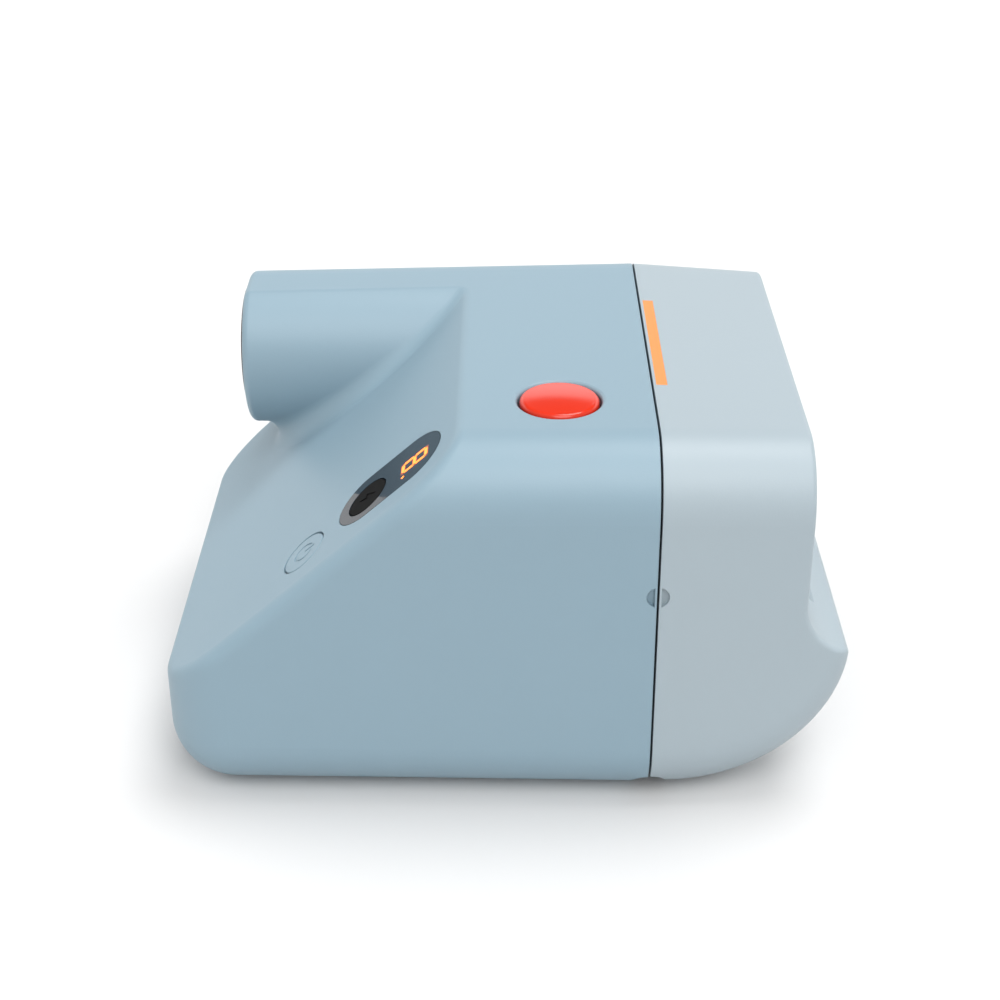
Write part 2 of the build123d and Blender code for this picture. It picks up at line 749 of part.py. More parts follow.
# Lens barrel and its two glass elements
with BuildPart() as lens_barrel:
    with BuildSketch(front_plane(shutter_front)):
        with Locations((0, lens_z)):
            Circle(barrel_radius)
            Circle(barrel_bore, mode=Mode.SUBTRACT)
    extrude(amount=shutter_front - barrel_front)
    for y in (barrel_front + 2.8, shutter_front):
        with BuildSketch(front_plane(y)):
            with Locations((0, lens_z)):
                Circle(barrel_bore)
                Circle(barrel_bore - 0.8, mode=Mode.SUBTRACT)
        extrude(amount=0.6)
    chamfer(lens_barrel.faces().sort_by(Axis.Y)[0].edges(), 0.4)
export_part(lens_barrel, "lens_barrel")
for name, y, mid in (("front_element", barrel_front + 2.2, 1.2), ("rear_element", shutter_front - 0.6, 1.0)):
    with BuildPart() as element:
        with BuildSketch(Plane(origin=(0, y, lens_z), x_dir=(1, 0, 0), z_dir=(0, 0, 1))):
            with BuildLine():
                Line((0, 0), (barrel_bore, 0))
                Line((barrel_bore, 0), (barrel_bore, -0.8))
                half_way = -0.8 - half_sag(barrel_bore, mid)
                ThreePointArc((barrel_bore, -0.8), (barrel_bore / 2, half_way), (0, -0.8 - mid))
                Line((0, -0.8 - mid), (0, 0))
            make_face()
        revolve(axis=Axis((0, y, lens_z), (0, 1, 0)))
    export_part(element, name)

# Viewfinder tunnel with its objective and eyepiece
tunnel_bore = tunnel_radius - tunnel_wall
with BuildPart() as finder_tunnel:
    with BuildSketch(front_plane(finder_end - 3.0)):
        with Locations((finder_x, finder_z)):
            Circle(tunnel_radius)
            Circle(tunnel_bore, mode=Mode.SUBTRACT)
    extrude(amount=finder_end - 3.0 - tunnel_front)
export_part(finder_tunnel, "finder_tunnel")
for name, y, thick, radius in (("finder_objective", tunnel_front + 3.4, 1.2, tunnel_bore),
                               ("eyepiece_lens", finder_end - 0.2, 1.2, eyepiece_inner)):
    with BuildPart() as eye_glass:
        with BuildSketch(Plane(origin=(finder_x, y, finder_z), x_dir=(1, 0, 0), z_dir=(0, 0, 1))):
            with BuildLine():
                Line((0, -thick), (radius, -thick))
                Line((radius, -thick), (radius, -0.4))
                ThreePointArc((radius, -0.4), (radius / 2, half_sag(radius, 0.4) - 0.4), (0, 0))
                Line((0, 0), (0, -thick))
            make_face()
        revolve(axis=Axis((finder_x, y, finder_z), (0, 1, 0)))
    export_part(eye_glass, name)
with BuildPart() as eyepiece_ring:
    with BuildSketch(front_plane(finder_end + 0.5)):
        with Locations((finder_x, finder_z)):
            Circle(finder_bore)
            Circle(eyepiece_inner, mode=Mode.SUBTRACT)
    extrude(amount=3.5)
    fillet(eyepiece_ring.faces().sort_by(Axis.Y)[-1].edges(), 0.6)
    with BuildSketch(front_plane(finder_end - 1.4)):
        with Locations((finder_x, finder_z)):
            Circle(eyepiece_inner)
            Circle(eyepiece_inner - 0.8, mode=Mode.SUBTRACT)
    extrude(amount=1.0)
export_part(eyepiece_ring, "eyepiece_ring")

# Top button: domed cap, flange under the roof and a stem down to its switch
with BuildPart() as shutter_button:
    crown = button_radius - button_edge
    rim_z = height - button_sag
    with BuildSketch(Plane(origin=(button_x, button_y, 0), x_dir=(1, 0, 0), z_dir=(0, -1, 0))):
        with BuildLine():
            Polyline((0, height), (0, button_stem_z), (2.0, button_stem_z), (2.0, button_flange_z - 1.0),
                     (button_well + 0.8, button_flange_z - 1.0), (button_well + 0.8, button_flange_z),
                     (button_radius, button_flange_z), (button_radius, rim_z - button_edge))
            corner = button_edge * sin(radians(45))
            ThreePointArc((button_radius, rim_z - button_edge),
                          (crown + corner, rim_z - button_edge + corner), (crown, rim_z))
            ThreePointArc((crown, rim_z), (crown / 2, rim_z + half_sag(crown, button_sag)), (0, height))
        make_face()
    revolve(axis=Axis((button_x, button_y, 0), (0, 0, 1)))
export_part(shutter_button, "shutter_button")

# Switch and small board under the button
with BuildPart() as button_switch:
    slot_box(button_x, button_y, button_stem_z - button_travel - fit_gap - 1.2, 5.0, 5.0, 2.4)
    slot_box(button_x - 1.0, button_y, button_stem_z - button_travel - fit_gap - 2.8, 9.0, 12.0, 0.8)
export_part(button_switch, "button_switch")

# Display window on the slope, with an opening for the mode key and seats for the digit
with BuildPart() as display_window:
    with BuildSketch(slope.offset(-pill_depth)):
        with Locations((pill_x, pill_down)):
            SlotOverall(pill_length, pill_width, rotation=90)
        with Locations((mode_x, mode_down)):
            Circle(mode_radius + key_gap, mode=Mode.SUBTRACT)
    extrude(amount=pill_depth)
    with BuildSketch(slope):
        add(digit_shape())
    extrude(amount=-0.3, mode=Mode.SUBTRACT)
export_part(display_window, "display_window")
with BuildPart() as counter_digit:
    with BuildSketch(slope.offset(-0.3)):
        add(digit_shape())
    extrude(amount=0.3)
export_part(counter_digit, "counter_digit")

# Mode key in the window and power key below it
with BuildPart() as mode_key:
    with BuildSketch(slope.offset(-pill_depth + key_travel + 0.05)):
        with Locations((mode_x, mode_down)):
            Circle(mode_radius)
    extrude(amount=pill_depth - key_travel - 0.05)
    with BuildSketch(slope.offset(-pill_depth + key_travel + 0.05)):
        with Locations((mode_x, mode_down)):
            Circle(mode_radius - 1.0)
    extrude(amount=-(board_drop - pill_depth - 0.3))
    with BuildSketch(icon_plane(mode_x, mode_down)):
        with BuildLine():
            Polyline((0.55, 1.9), (-1.25, -0.25), (-0.15, -0.25),
                     (-0.55, -1.9), (1.25, 0.35), (0.15, 0.35), close=True)
        make_face()
    extrude(amount=-0.15, mode=Mode.SUBTRACT)
export_part(mode_key, "mode_key")
with BuildPart() as power_key:
    with BuildSketch(slope.offset(-wall)):
        with Locations((power_x, power_down)):
            Circle(power_radius)
    extrude(amount=wall)
    fillet(power_key.faces().sort_by(Axis.Z)[-1].edges(), 0.25)
    with BuildSketch(slope.offset(-wall)):
        with Locations((power_x, power_down)):
            Circle(2.0)
    extrude(amount=-(board_drop - wall - key_travel - 0.1))
    with BuildSketch(icon_plane(power_x, power_down)):
        Circle(1.95)
        Circle(1.5, mode=Mode.SUBTRACT)
        with Locations((0, 1.6)):
            Rectangle(1.5, 1.6, mode=Mode.SUBTRACT)
        with Locations((0, 1.25)):
            Rectangle(0.45, 1.9)
    extrude(amount=-0.15, mode=Mode.SUBTRACT)
export_part(power_key, "power_key")
with BuildPart() as key_board:
    with BuildSketch(slope.offset(-board_drop)):
        with Locations((board_x, board_down)):
            Rectangle(12.4, 34.0)
    extrude(amount=-0.8)
export_part(key_board, "key_board")

# Side release for the front shell
with BuildPart() as door_release:
    release_face = half_width - side_fall * (release_y - seam_y) - 0.3
    with BuildSketch(side_plane(release_face - 3.4)):
        with Locations((release_y, release_z)):
            SlotOverall(release_length, release_height)
    extrude(amount=3.4)
    fillet(door_release.faces().sort_by(Axis.X)[-1].edges(), 0.4)
    with BuildSketch(side_plane(release_face - 3.4)):
        with Locations((release_y, release_z)):
            SlotOverall(release_length + 2.4, release_height + 2.4)
    extrude(amount=0.9)
    for y in (-3.0, 0, 3.0):
        slot_box(release_face, release_y + y, release_z, 0.5, 0.5, 3.0, Mode.SUBTRACT)
export_part(door_release, "door_release")

# Power and charging parts beside and under the film
with BuildPart() as battery:
    slot_box(-tray_half - 3.5, 6.0, 16.0, 7.0, 40.0, 11.0)
    fillet(battery.edges().filter_by(Axis.Y), 2.0)
export_part(battery, "battery")
with BuildPart() as flash_capacitor:
    with BuildSketch(front_plane(2.0)):
        with Locations((half_width - wall - 0.75 - capacitor_radius, 14.5)):
            Circle(capacitor_radius)
    extrude(amount=14)
    fillet(flash_capacitor.edges().filter_by(GeomType.CIRCLE), 0.5)
export_part(flash_capacitor, "flash_capacitor")
with BuildPart() as main_board:
    slot_box(0, 12.0, pack_low - tray_wall - 0.6, 42, 44, 1.2)
    slot_box(-8, 6.0, pack_low - tray_wall - 1.9, 10, 10, 1.4)
    slot_box(9, 22.0, pack_low - tray_wall - 2.2, 7, 9, 2.0)
export_part(main_board, "main_board")
with BuildPart() as charge_socket:
    socket_face = half_width - side_fall * (socket_y - seam_y) - 0.5
    with BuildSketch(side_plane(socket_face)):
        with Locations((socket_y, socket_z)):
            SlotOverall(socket_length - 0.4, socket_height - 0.4)
    extrude(amount=-6.6)
    with BuildSketch(side_plane(socket_face)):
        with Locations((socket_y, socket_z)):
            SlotOverall(socket_length - 1.2, socket_height - 1.2)
            SlotOverall(socket_length - 3.0, 0.8, mode=Mode.SUBTRACT)
    extrude(amount=-5.0, mode=Mode.SUBTRACT)
export_part(charge_socket, "charge_socket")

# Hinge pin
with BuildPart() as hinge_pin:
    with BuildSketch(hinge_plane(-knuckle_count * knuckle_length / 2)):
        Circle(pin_radius)
    extrude(amount=knuckle_count * knuckle_length)
export_part(hinge_pin, "hinge_pin")

# Front shell: scooped face with the film slot, windows and its half of the hinge
with BuildPart() as front_shell:
    add(front_form(0))
    add(front_form(wall), mode=Mode.SUBTRACT)
    slot_box(0, seam_y, height / 2, 2 * width, seam_gap, 2 * height, Mode.SUBTRACT)
    with BuildSketch(front_plane(front_wall_y + 2 * wall)):
        with Locations((0, lens_z)):
            Circle(bezel_neck)
        with Locations((finder_x, finder_z)):
            RectangleRounded(eye_width - 2 * window_seat, eye_height - 2 * window_seat, 0.8)
        with Locations((flash_x, flash_z)):
            RectangleRounded(flash_width - 2 * window_seat, flash_height - 2 * window_seat, 0.8)
        with Locations((sensor_x, sensor_z)):
            Circle(sensor_radius - 0.5)
    extrude(amount=3 * wall, mode=Mode.SUBTRACT)
    with BuildSketch(front_plane(front_wall_y + pane_depth)):
        with Locations((finder_x, finder_z)):
            RectangleRounded(eye_width, eye_height, 1.6)
        with Locations((flash_x, flash_z)):
            RectangleRounded(flash_width, flash_height, 1.6)
        with Locations((sensor_x, sensor_z)):
            Circle(sensor_radius)
    extrude(amount=2 * wall, mode=Mode.SUBTRACT)
    slot_box(0, front_wall_y - 2, slot_z, slot_width, 10, slot_height, Mode.SUBTRACT)
    slot_box(0, strip_y, roof(strip_y, 0), strip_length, strip_width, 2 * strip_depth, Mode.SUBTRACT)
    for side in (-1, 1):
        with BuildSketch(side_plane(side * half_width)):
            with Locations((seam_y, hollow_z)):
                Circle(hollow_radius)
                Rectangle(bar_width, 2 * hollow_radius + 1, mode=Mode.SUBTRACT)
        extrude(amount=-side * hollow_depth, both=True, mode=Mode.SUBTRACT)
    with BuildSketch(hinge_plane(-width)):
        Circle(knuckle_radius + front_groove)
    extrude(amount=2 * width, mode=Mode.SUBTRACT)
    for x in hinge_spans(1):
        with BuildSketch(hinge_plane(x - knuckle_length / 2 + part_gap / 2)):
            Circle(knuckle_radius)
            with BuildLine():
                Polyline((0, -knuckle_radius), (-strap_reach, -knuckle_radius),
                         (-strap_reach, 0.1), (0, knuckle_radius), close=True)
            make_face()
            Circle(pin_radius + pin_fit, mode=Mode.SUBTRACT)
        extrude(amount=knuckle_length - part_gap)
export_part(front_shell, "front_shell")

# Plain accent strip let into the top of the front shell
with BuildPart() as accent_strip:
    slot_box(0, strip_y, roof(strip_y, 0), strip_length, strip_width, 2 * strip_depth)
    add(front_form(0), mode=Mode.INTERSECT)
export_part(accent_strip, "accent_strip")

# Lens bezel and its clear window
with BuildPart() as lens_bezel:
    with BuildSketch(Plane(origin=(0, front_wall_y, lens_z), x_dir=(1, 0, 0), z_dir=(0, 0, 1))):
        with BuildLine():
            Polyline((bezel_neck, wall), (bezel_neck, 0), (bezel_radius, 0),
                     (bezel_radius, 0.15 - bezel_proud), (bezel_radius - 0.15, -bezel_proud),
                     (bezel_radius - 1.4, -bezel_proud),
                     (lens_opening, 0.5), (lens_opening, 0.8), (lens_opening + 0.8, 0.8),
                     (lens_opening + 0.8, wall), close=True)
        make_face()
    revolve(axis=Axis((0, front_wall_y, lens_z), (0, 1, 0)))
export_part(lens_bezel, "lens_bezel")
with BuildPart() as lens_window:
    with BuildSketch(front_plane(front_wall_y + 1.8)):
        with Locations((0, lens_z)):
            Circle(lens_opening + 0.8)
    extrude(amount=1.0)
export_part(lens_window, "lens_window")

# Viewfinder window, flash window and light sensor in the front wall
with BuildPart() as finder_window:
    with BuildSketch(front_plane(front_wall_y + pane_depth)):
        with Locations((finder_x, finder_z)):
            RectangleRounded(eye_width - 2 * trim_gap, eye_height - 2 * trim_gap, 1.5)
    extrude(amount=pane_depth - 0.1)
export_part(finder_window, "finder_window")
with BuildPart() as flash_window:
    with BuildSketch(front_plane(front_wall_y + pane_depth)):
        with Locations((flash_x, flash_z)):
            RectangleRounded(flash_width - 2 * trim_gap, flash_height - 2 * trim_gap, 1.5)
    extrude(amount=pane_depth - 0.1)
    for k in range(5):
        rib_z = flash_z + (k - 2) * 1.5
        slot_box(flash_x, front_wall_y + 0.1, rib_z, flash_width - 3, 0.3, 0.5, Mode.SUBTRACT)
export_part(flash_window, "flash_window")
with BuildPart() as sensor_window:
    with BuildSketch(front_plane(front_wall_y + pane_depth)):
        with Locations((sensor_x, sensor_z)):
            Circle(sensor_radius - trim_gap)
    extrude(amount=pane_depth - 0.1)
export_part(sensor_window, "sensor_window")

# Flash reflector and tube
with BuildPart() as flash_reflector:
    slot_box(flash_x, front_wall_y + wall + 2.8, flash_z, flash_width - 0.6, 5.6, flash_height - 1.0)
    with BuildSketch(side_plane(flash_x)):
        with Locations((front_wall_y + wall, flash_z)):
            Ellipse(4.9, (flash_height - 2 * window_seat) / 2)
    extrude(amount=(flash_width - 2 * window_seat) / 2, both=True, mode=Mode.SUBTRACT)
    with BuildSketch(side_plane(flash_x)):
        with Locations((front_wall_y + wall + 2.2, flash_z)):
            Circle(1.1)
    extrude(amount=flash_width, both=True, mode=Mode.SUBTRACT)
export_part(flash_reflector, "flash_reflector")
with BuildPart() as flash_tube:
    with BuildSketch(side_plane(flash_x)):
        with Locations((front_wall_y + wall + 2.2, flash_z)):
            Circle(1.1)
    extrude(amount=flash_width / 2 + 0.6, both=True)
export_part(flash_tube, "flash_tube")

# Light seal behind the film slot
with BuildPart() as slot_seal:
    slot_box(0, front_wall_y - 1.0, slot_z, slot_width + 4, 6.4, 5.4)
    add(front_form(wall), mode=Mode.INTERSECT)
    slot_box(0, front_wall_y - 1.0, slot_z, slot_width - 2, 12, slot_height - 0.8, Mode.SUBTRACT)
export_part(slot_seal, "slot_seal")

# Roller frame: two side plates that stand in the chin, joined by a bar
with BuildPart() as roller_frame:
    for side in (-1, 1):
        with BuildSketch(side_plane(side * (roller_length / 2 + part_gap))):
            with BuildLine():
                Polyline((-25.4, 3.0), (-25.4, 14.0), (-26.8, 18.0), (-26.8, 34.8), (-35.6, 34.8),
                         (-38.0, 26.0), (-60.0, 20.0), (-60.0, 3.0), close=True)
            make_face()
            with Locations((roller_y, lower_z), (roller_y, upper_z)):
                Circle(journal_radius + shaft_fit, mode=Mode.SUBTRACT)
            with Locations((pinion_y, pinion_z)):
                Circle(motor_shaft + 0.3, mode=Mode.SUBTRACT)
        extrude(amount=side * plate_wall)
    slot_box(0, -36.6, 19.0, roller_length + 2 * part_gap, 1.2, 6.0)
    add(front_form(wall), mode=Mode.INTERSECT)
    with BuildSketch(side_plane(gear_x + part_gap)):
        with Locations((idler_y, idler_z)):
            Circle(idler_pin)
    extrude(amount=-gear_width - 2 * part_gap)
export_part(roller_frame, "roller_frame")

# Two steel rollers with their gears
idler_phase = mesh_phase(0, roller_teeth, idler_teeth, -90 - idler_turn)
pinion_phase = mesh_phase(idler_phase, idler_teeth, pinion_teeth, -90 - pinion_turn)
for name, z in (("lower_roller", lower_z), ("upper_roller", upper_z)):
    with BuildPart() as roller:
        with BuildSketch(side_plane(0)):
            with Locations((roller_y, z)):
                Circle(roller_radius)
        extrude(amount=roller_length / 2, both=True)
        with BuildSketch(side_plane(gear_x - gear_width - part_gap)):
            with Locations((roller_y, z)):
                Circle(journal_radius)
        extrude(amount=roller_length + 4 * part_gap + 2 * plate_wall + gear_width + part_gap)
    export_part(roller, name)
upper_phase = mesh_phase(0.0, roller_teeth, roller_teeth, 90.0)
meshes = (("lower_roller_gear", roller_teeth, roller_y, lower_z, journal_radius, 0.0),
          ("upper_roller_gear", roller_teeth, roller_y, upper_z, journal_radius, upper_phase),
          ("idler_gear", idler_teeth, idler_y, idler_z, idler_pin + shaft_fit, idler_phase),
          ("motor_pinion", pinion_teeth, pinion_y, pinion_z, 0, pinion_phase))
for name, teeth, y, z, bore, phase in meshes:
    with BuildPart() as gear:
        with BuildSketch(Plane(origin=(gear_x, y, z), x_dir=(0, 1, 0), z_dir=(1, 0, 0))):
            with BuildLine():
                Polyline(*gear_points(teeth, phase), close=True)
            make_face()
            if bore > 0:
                Circle(bore, mode=Mode.SUBTRACT)
        extrude(amount=-gear_width)
        if bore == 0:
            with BuildSketch(Plane(origin=(gear_x, y, z), x_dir=(0, 1, 0), z_dir=(1, 0, 0))):
                Circle(motor_shaft)
            extrude(amount=2 * part_gap + plate_wall + 3.0)
    export_part(gear, name)

# Motor that turns the rollers
with BuildPart() as motor:
    with BuildSketch(side_plane(gear_x + part_gap + plate_wall)):
        with Locations((pinion_y, pinion_z)):
            Circle(motor_radius)
            Circle(motor_shaft + shaft_fit, mode=Mode.SUBTRACT)
    extrude(amount=motor_length)
export_part(motor, "motor")
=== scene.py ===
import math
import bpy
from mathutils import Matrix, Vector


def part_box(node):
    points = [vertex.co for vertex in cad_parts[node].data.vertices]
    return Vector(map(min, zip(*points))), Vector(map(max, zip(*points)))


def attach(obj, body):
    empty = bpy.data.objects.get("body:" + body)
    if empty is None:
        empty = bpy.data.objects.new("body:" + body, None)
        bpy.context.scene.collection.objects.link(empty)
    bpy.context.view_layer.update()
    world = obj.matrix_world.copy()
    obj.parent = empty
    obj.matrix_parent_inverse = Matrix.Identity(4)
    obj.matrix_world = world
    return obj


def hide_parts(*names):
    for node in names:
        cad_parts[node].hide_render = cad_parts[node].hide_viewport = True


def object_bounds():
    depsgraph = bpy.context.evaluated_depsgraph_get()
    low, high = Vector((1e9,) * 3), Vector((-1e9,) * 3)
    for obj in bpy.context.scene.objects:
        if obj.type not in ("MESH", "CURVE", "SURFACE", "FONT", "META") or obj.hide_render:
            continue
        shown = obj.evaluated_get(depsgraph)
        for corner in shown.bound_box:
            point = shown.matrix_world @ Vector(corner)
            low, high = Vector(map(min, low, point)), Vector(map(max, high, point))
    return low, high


bl_info = {
    "name": "Two-tone instant camera",
    "version": (1, 0, 0),
    "blender": (4, 5, 0),
    "location": "3D View > Sidebar > Camera",
    "description": "Finishes, small fittings and studio for a packed instant camera",
    "category": "Object",
}

import bmesh
import bpy
from bpy.props import FloatProperty, FloatVectorProperty, PointerProperty
from mathutils import Matrix, Vector

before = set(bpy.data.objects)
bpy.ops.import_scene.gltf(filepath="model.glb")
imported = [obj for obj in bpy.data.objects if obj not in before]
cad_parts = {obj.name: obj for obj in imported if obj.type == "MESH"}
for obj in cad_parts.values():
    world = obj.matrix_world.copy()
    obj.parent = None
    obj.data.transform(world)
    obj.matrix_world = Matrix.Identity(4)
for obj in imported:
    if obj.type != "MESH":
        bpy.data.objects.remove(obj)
CAD_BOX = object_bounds()
MM = 0.001

# spacings of the patterns on the finishes
TOOL_LINES = 0.35 * MM
LIGHT_TRAP_THREAD = 0.6 * MM
FLASH_RIBS = 0.75 * MM
PICTURE_HALF = 23 * MM

# one turn of a wave pattern at scale 1 is this long
WAVE_LENGTH = math.pi / 10

# directions from the body towards the lights
SUN_FROM = (0.18, -0.25, 1)
BOX_FROM = (-0.62, -0.12, 0.78)
BOX_OUTER = math.radians(26)
BOX_INNER = math.radians(16)
FAR_DIMMING = 0.6

# small offsets of the view
SENSOR_WIDTH = 36
FRAME_SHIFT = -0.00904
VIEW_OFFSET = -0.00101
FLOOR_GAP = 0.1 * MM

# chips under the main board: middle X and Y, then width and length, in millimetres
CHIPS = ((-9, 18, 9, 7), (7, -2, 6, 6), (14, 12, 5, 8))
# and the small parts beside them
SMALL_PARTS = 14


def linear(hex_colour):
    """The linear colour of an sRGB hex value."""
    parts = [int(hex_colour[k:k + 2], 16) / 255 for k in (1, 3, 5)]
    return tuple(c / 12.92 if c <= 0.04045 else ((c + 0.055) / 1.055) ** 2.4 for c in parts) + (1.0,)


def colour(name, hex_colour, description):
    """A colour that a user may change."""
    return FloatVectorProperty(name=name, description=description, subtype="COLOR", size=4, min=0, max=1,
                               default=linear(hex_colour))


def millimetres(name, value, description):
    """A length that a user may change, given in millimetres."""
    return FloatProperty(name=name, description=description, default=value * MM, min=0, precision=5,
                         unit="LENGTH", subtype="DISTANCE")


def amount(name, value, description, high=1.0):
    """A plain amount that a user may change."""
    return FloatProperty(name=name, description=description, default=value, min=0, max=high,
                         subtype="FACTOR")


class ShellFinish(bpy.types.PropertyGroup):
    """Colours and grain of the moulded shells."""

    rear: colour("Rear shell", "#8098A5", "Colour of the rear shell and its keys")
    front: colour("Front shell", "#98A5AC", "Colour of the front shell")
    strip: colour("Accent strip", "#E0863A", "Colour of the plain strip on top")
    grain: millimetres("Grain", 0.3, "Spacing of the moulded grain")
    depth: millimetres("Grain depth", 0.004, "Height of the moulded grain")
    edge: millimetres("Edge softness", 0.18, "Radius that a moulded edge shows")
    roughness: amount("Roughness", 0.46, "Roughness of the shells")


class KeyFinish(bpy.types.PropertyGroup):
    """Colours of the button, the keys and the lit counter."""

    button: colour("Button", "#CC2A0C", "Colour of the top button")
    key: colour("Mode key", "#121212", "Colour of the key in the display window")
    window: colour("Display window", "#262D36", "Colour seen through the smoked window")
    core: colour("Figure core", "#FFE0A0", "Colour at the middle of a lit segment")
    rim: colour("Figure rim", "#FF7A24", "Colour at the edge of a lit segment")
    stroke: millimetres("Segment", 0.62, "Width of a lit segment")
    glow: millimetres("Glow", 0.32, "How far the light spreads in the window")
    brightness: amount("Brightness", 2.3, "Strength of the lit figure", 10.0)


class InnerFinish(bpy.types.PropertyGroup):
    """Colours of the parts inside."""

    black: colour("Black mouldings", "#1F2326", "Colour of the black inner mouldings")
    board: colour("Circuit boards", "#1F5A36", "Colour of the solder mask")
    track: colour("Tracks", "#357C4C", "Colour of the mask over copper tracks")
    gear: colour("Gears", "#E4DFD0", "Colour of the moulded gears")
    steel: colour("Steel", "#BDBEBF", "Colour of steel parts")
    paper: colour("Film border", "#E9E7E0", "Colour of the film border")
    picture: colour("Film picture area", "#3B4A4F", "Colour of the unexposed film")
    wrap: colour("Battery wrap", "#7E858A", "Colour of the battery foil")
    gold: colour("Contacts", "#D9B25F", "Colour of plated contacts")


class FittingSizes(bpy.types.PropertyGroup):
    """Sizes of the small fittings that are built here."""

    screw: millimetres("Screw head", 1.05, "Radius of the small screw heads")
    lead: millimetres("Lead", 0.22, "Radius of the insulated leads")
    chip: millimetres("Chip height", 0.9, "Height of the larger chips")
    edge: millimetres("Edge", 0.12, "Bevel on small fittings")


class Studio(bpy.types.PropertyGroup):
    """Floor, lights and camera."""

    floor: FloatProperty(name="Floor", description="Side of the square floor", default=8.0, unit="LENGTH")
    tint: colour("Floor colour", "#D5D5D5", "Colour of the floor before it is lit")
    sky: FloatProperty(name="Surround", description="Strength of the white surround", default=0.8)
    key: FloatProperty(name="Key light", description="Strength of the broad light overhead", default=1.65)
    box: FloatProperty(name="Soft box", description="Strength of the soft box overhead", default=3.9)
    spread: FloatProperty(name="Key spread", description="Angle that the broad light fills",
                          default=math.radians(32), subtype="ANGLE")
    focal: FloatProperty(name="Focal length", description="Focal length on a 36 mm sensor",
                         default=65.91, unit="CAMERA")
    height: FloatProperty(name="View height", description="Height of the view above the floor",
                          default=0.18007, unit="LENGTH")
    distance: FloatProperty(name="View distance", description="Distance of the view from the body's middle",
                            default=0.26973, unit="LENGTH")
    tilt: FloatProperty(name="View tilt", description="Angle that the view looks down",
                        default=math.radians(28.79), subtype="ANGLE")


def add_node(tree, kind, settings=None, links=None):
    """Adds one node, sets its inputs or properties, and links its inputs to other sockets."""
    node = tree.nodes.new(kind)
    for key, value in (settings or {}).items():
        if isinstance(key, str) and key not in node.inputs:
            setattr(node, key, value)
        else:
            node.inputs[key].default_value = value
    for key, socket in (links or {}).items():
        tree.links.new(socket, node.inputs[key])
    return node


def new_material(name, settings):
    """A node material with one principled shader, and its tree."""
    material = bpy.data.materials.new(name)
    material.use_nodes = True
    tree = material.node_tree
    tree.nodes.clear()
    shader = add_node(tree, "ShaderNodeBsdfPrincipled", settings)
    add_node(tree, "ShaderNodeOutputMaterial", links={"Surface": shader.outputs[0]})
    return material, tree, shader


def shade(base, factor):
    """A colour made lighter or darker."""
    return tuple(min(1.0, c * factor) for c in base[:3]) + (1.0,)


def place(tree, turn=(0, 0, 0), move=(0, 0, 0), stretch=(1, 1, 1)):
    """Coordinates in metres, turned and moved for a pattern."""
    where = add_node(tree, "ShaderNodeTexCoord")
    mapped = add_node(tree, "ShaderNodeMapping", {"Rotation": turn, "Location": move, "Scale": stretch},
                      {"Vector": where.outputs["Object"]})
    return mapped.outputs[0]


def mottle(tree, shader, coords, size, low, high, base, change):
    """Slow changes of colour and roughness over a surface."""
    patch = add_node(tree, "ShaderNodeTexNoise", {"Scale": 1 / size, "Detail": 3.0}, {"Vector": coords})
    darker, lighter = shade(base, 1 - change), shade(base, 1 + change)
    mix = add_node(tree, "ShaderNodeMix", {"data_type": "RGBA", 6: darker, 7: lighter},
                   {0: patch.outputs[0]})
    rough = add_node(tree, "ShaderNodeMapRange", {"To Min": low, "To Max": high},
                     {"Value": patch.outputs[0]})
    tree.links.new(mix.outputs[2], shader.inputs["Base Color"])
    tree.links.new(rough.outputs[0], shader.inputs["Roughness"])


def relief(tree, shader, height, depth, edge):
    """A bump over softly rounded edges."""
    soft = add_node(tree, "ShaderNodeBevel", {"samples": 6, "Radius": edge})
    bump = add_node(tree, "ShaderNodeBump", {"Distance": depth},
                    {"Height": height, "Normal": soft.outputs[0]})
    tree.links.new(bump.outputs[0], shader.inputs["Normal"])


def moulded(name, base, grain, depth, roughness, edge, ior=1.54):
    """Injection-moulded ABS from a spark-eroded mould: an even satin sheen over a fine dimpled grain."""
    material, tree, shader = new_material(name, {"IOR": ior})
    coords = place(tree)
    mottle(tree, shader, coords, 14 * MM, roughness - 0.03, roughness + 0.03, base, 0.012)
    dimple = add_node(tree, "ShaderNodeTexVoronoi", {"Scale": 1 / grain}, {"Vector": coords})
    relief(tree, shader, dimple.outputs[0], depth, edge)
    return material


def glossy(name, base, edge):
    """Polished polycarbonate: a deep even colour under a clear gloss with a faint moulded waviness."""
    material, tree, shader = new_material(name, {"IOR": 1.58, "Specular IOR Level": 0.32})
    coords = place(tree)
    mottle(tree, shader, coords, 6 * MM, 0.10, 0.15, base, 0.02)
    wave = add_node(tree, "ShaderNodeTexNoise", {"Scale": 1 / (1.8 * MM)}, {"Vector": coords})
    relief(tree, shader, wave.outputs[0], 0.003 * MM, edge)
    return material


def turned(name, base, turn, roughness):
    """Turned or drawn steel: bright, with fine parallel tool lines that stretch the highlight."""
    material, tree, shader = new_material(name, {"Metallic": 1.0, "Anisotropic": 0.4})
    coords = place(tree, turn, stretch=(1, 1, 0.06))
    mottle(tree, shader, coords, TOOL_LINES, roughness - 0.06, roughness + 0.08, base, 0.05)
    lines = add_node(tree, "ShaderNodeTexNoise", {"Scale": 1 / TOOL_LINES, "Detail": 4.0},
                     {"Vector": coords})
    relief(tree, shader, lines.outputs[0], 0.004 * MM, 0.1 * MM)
    return material


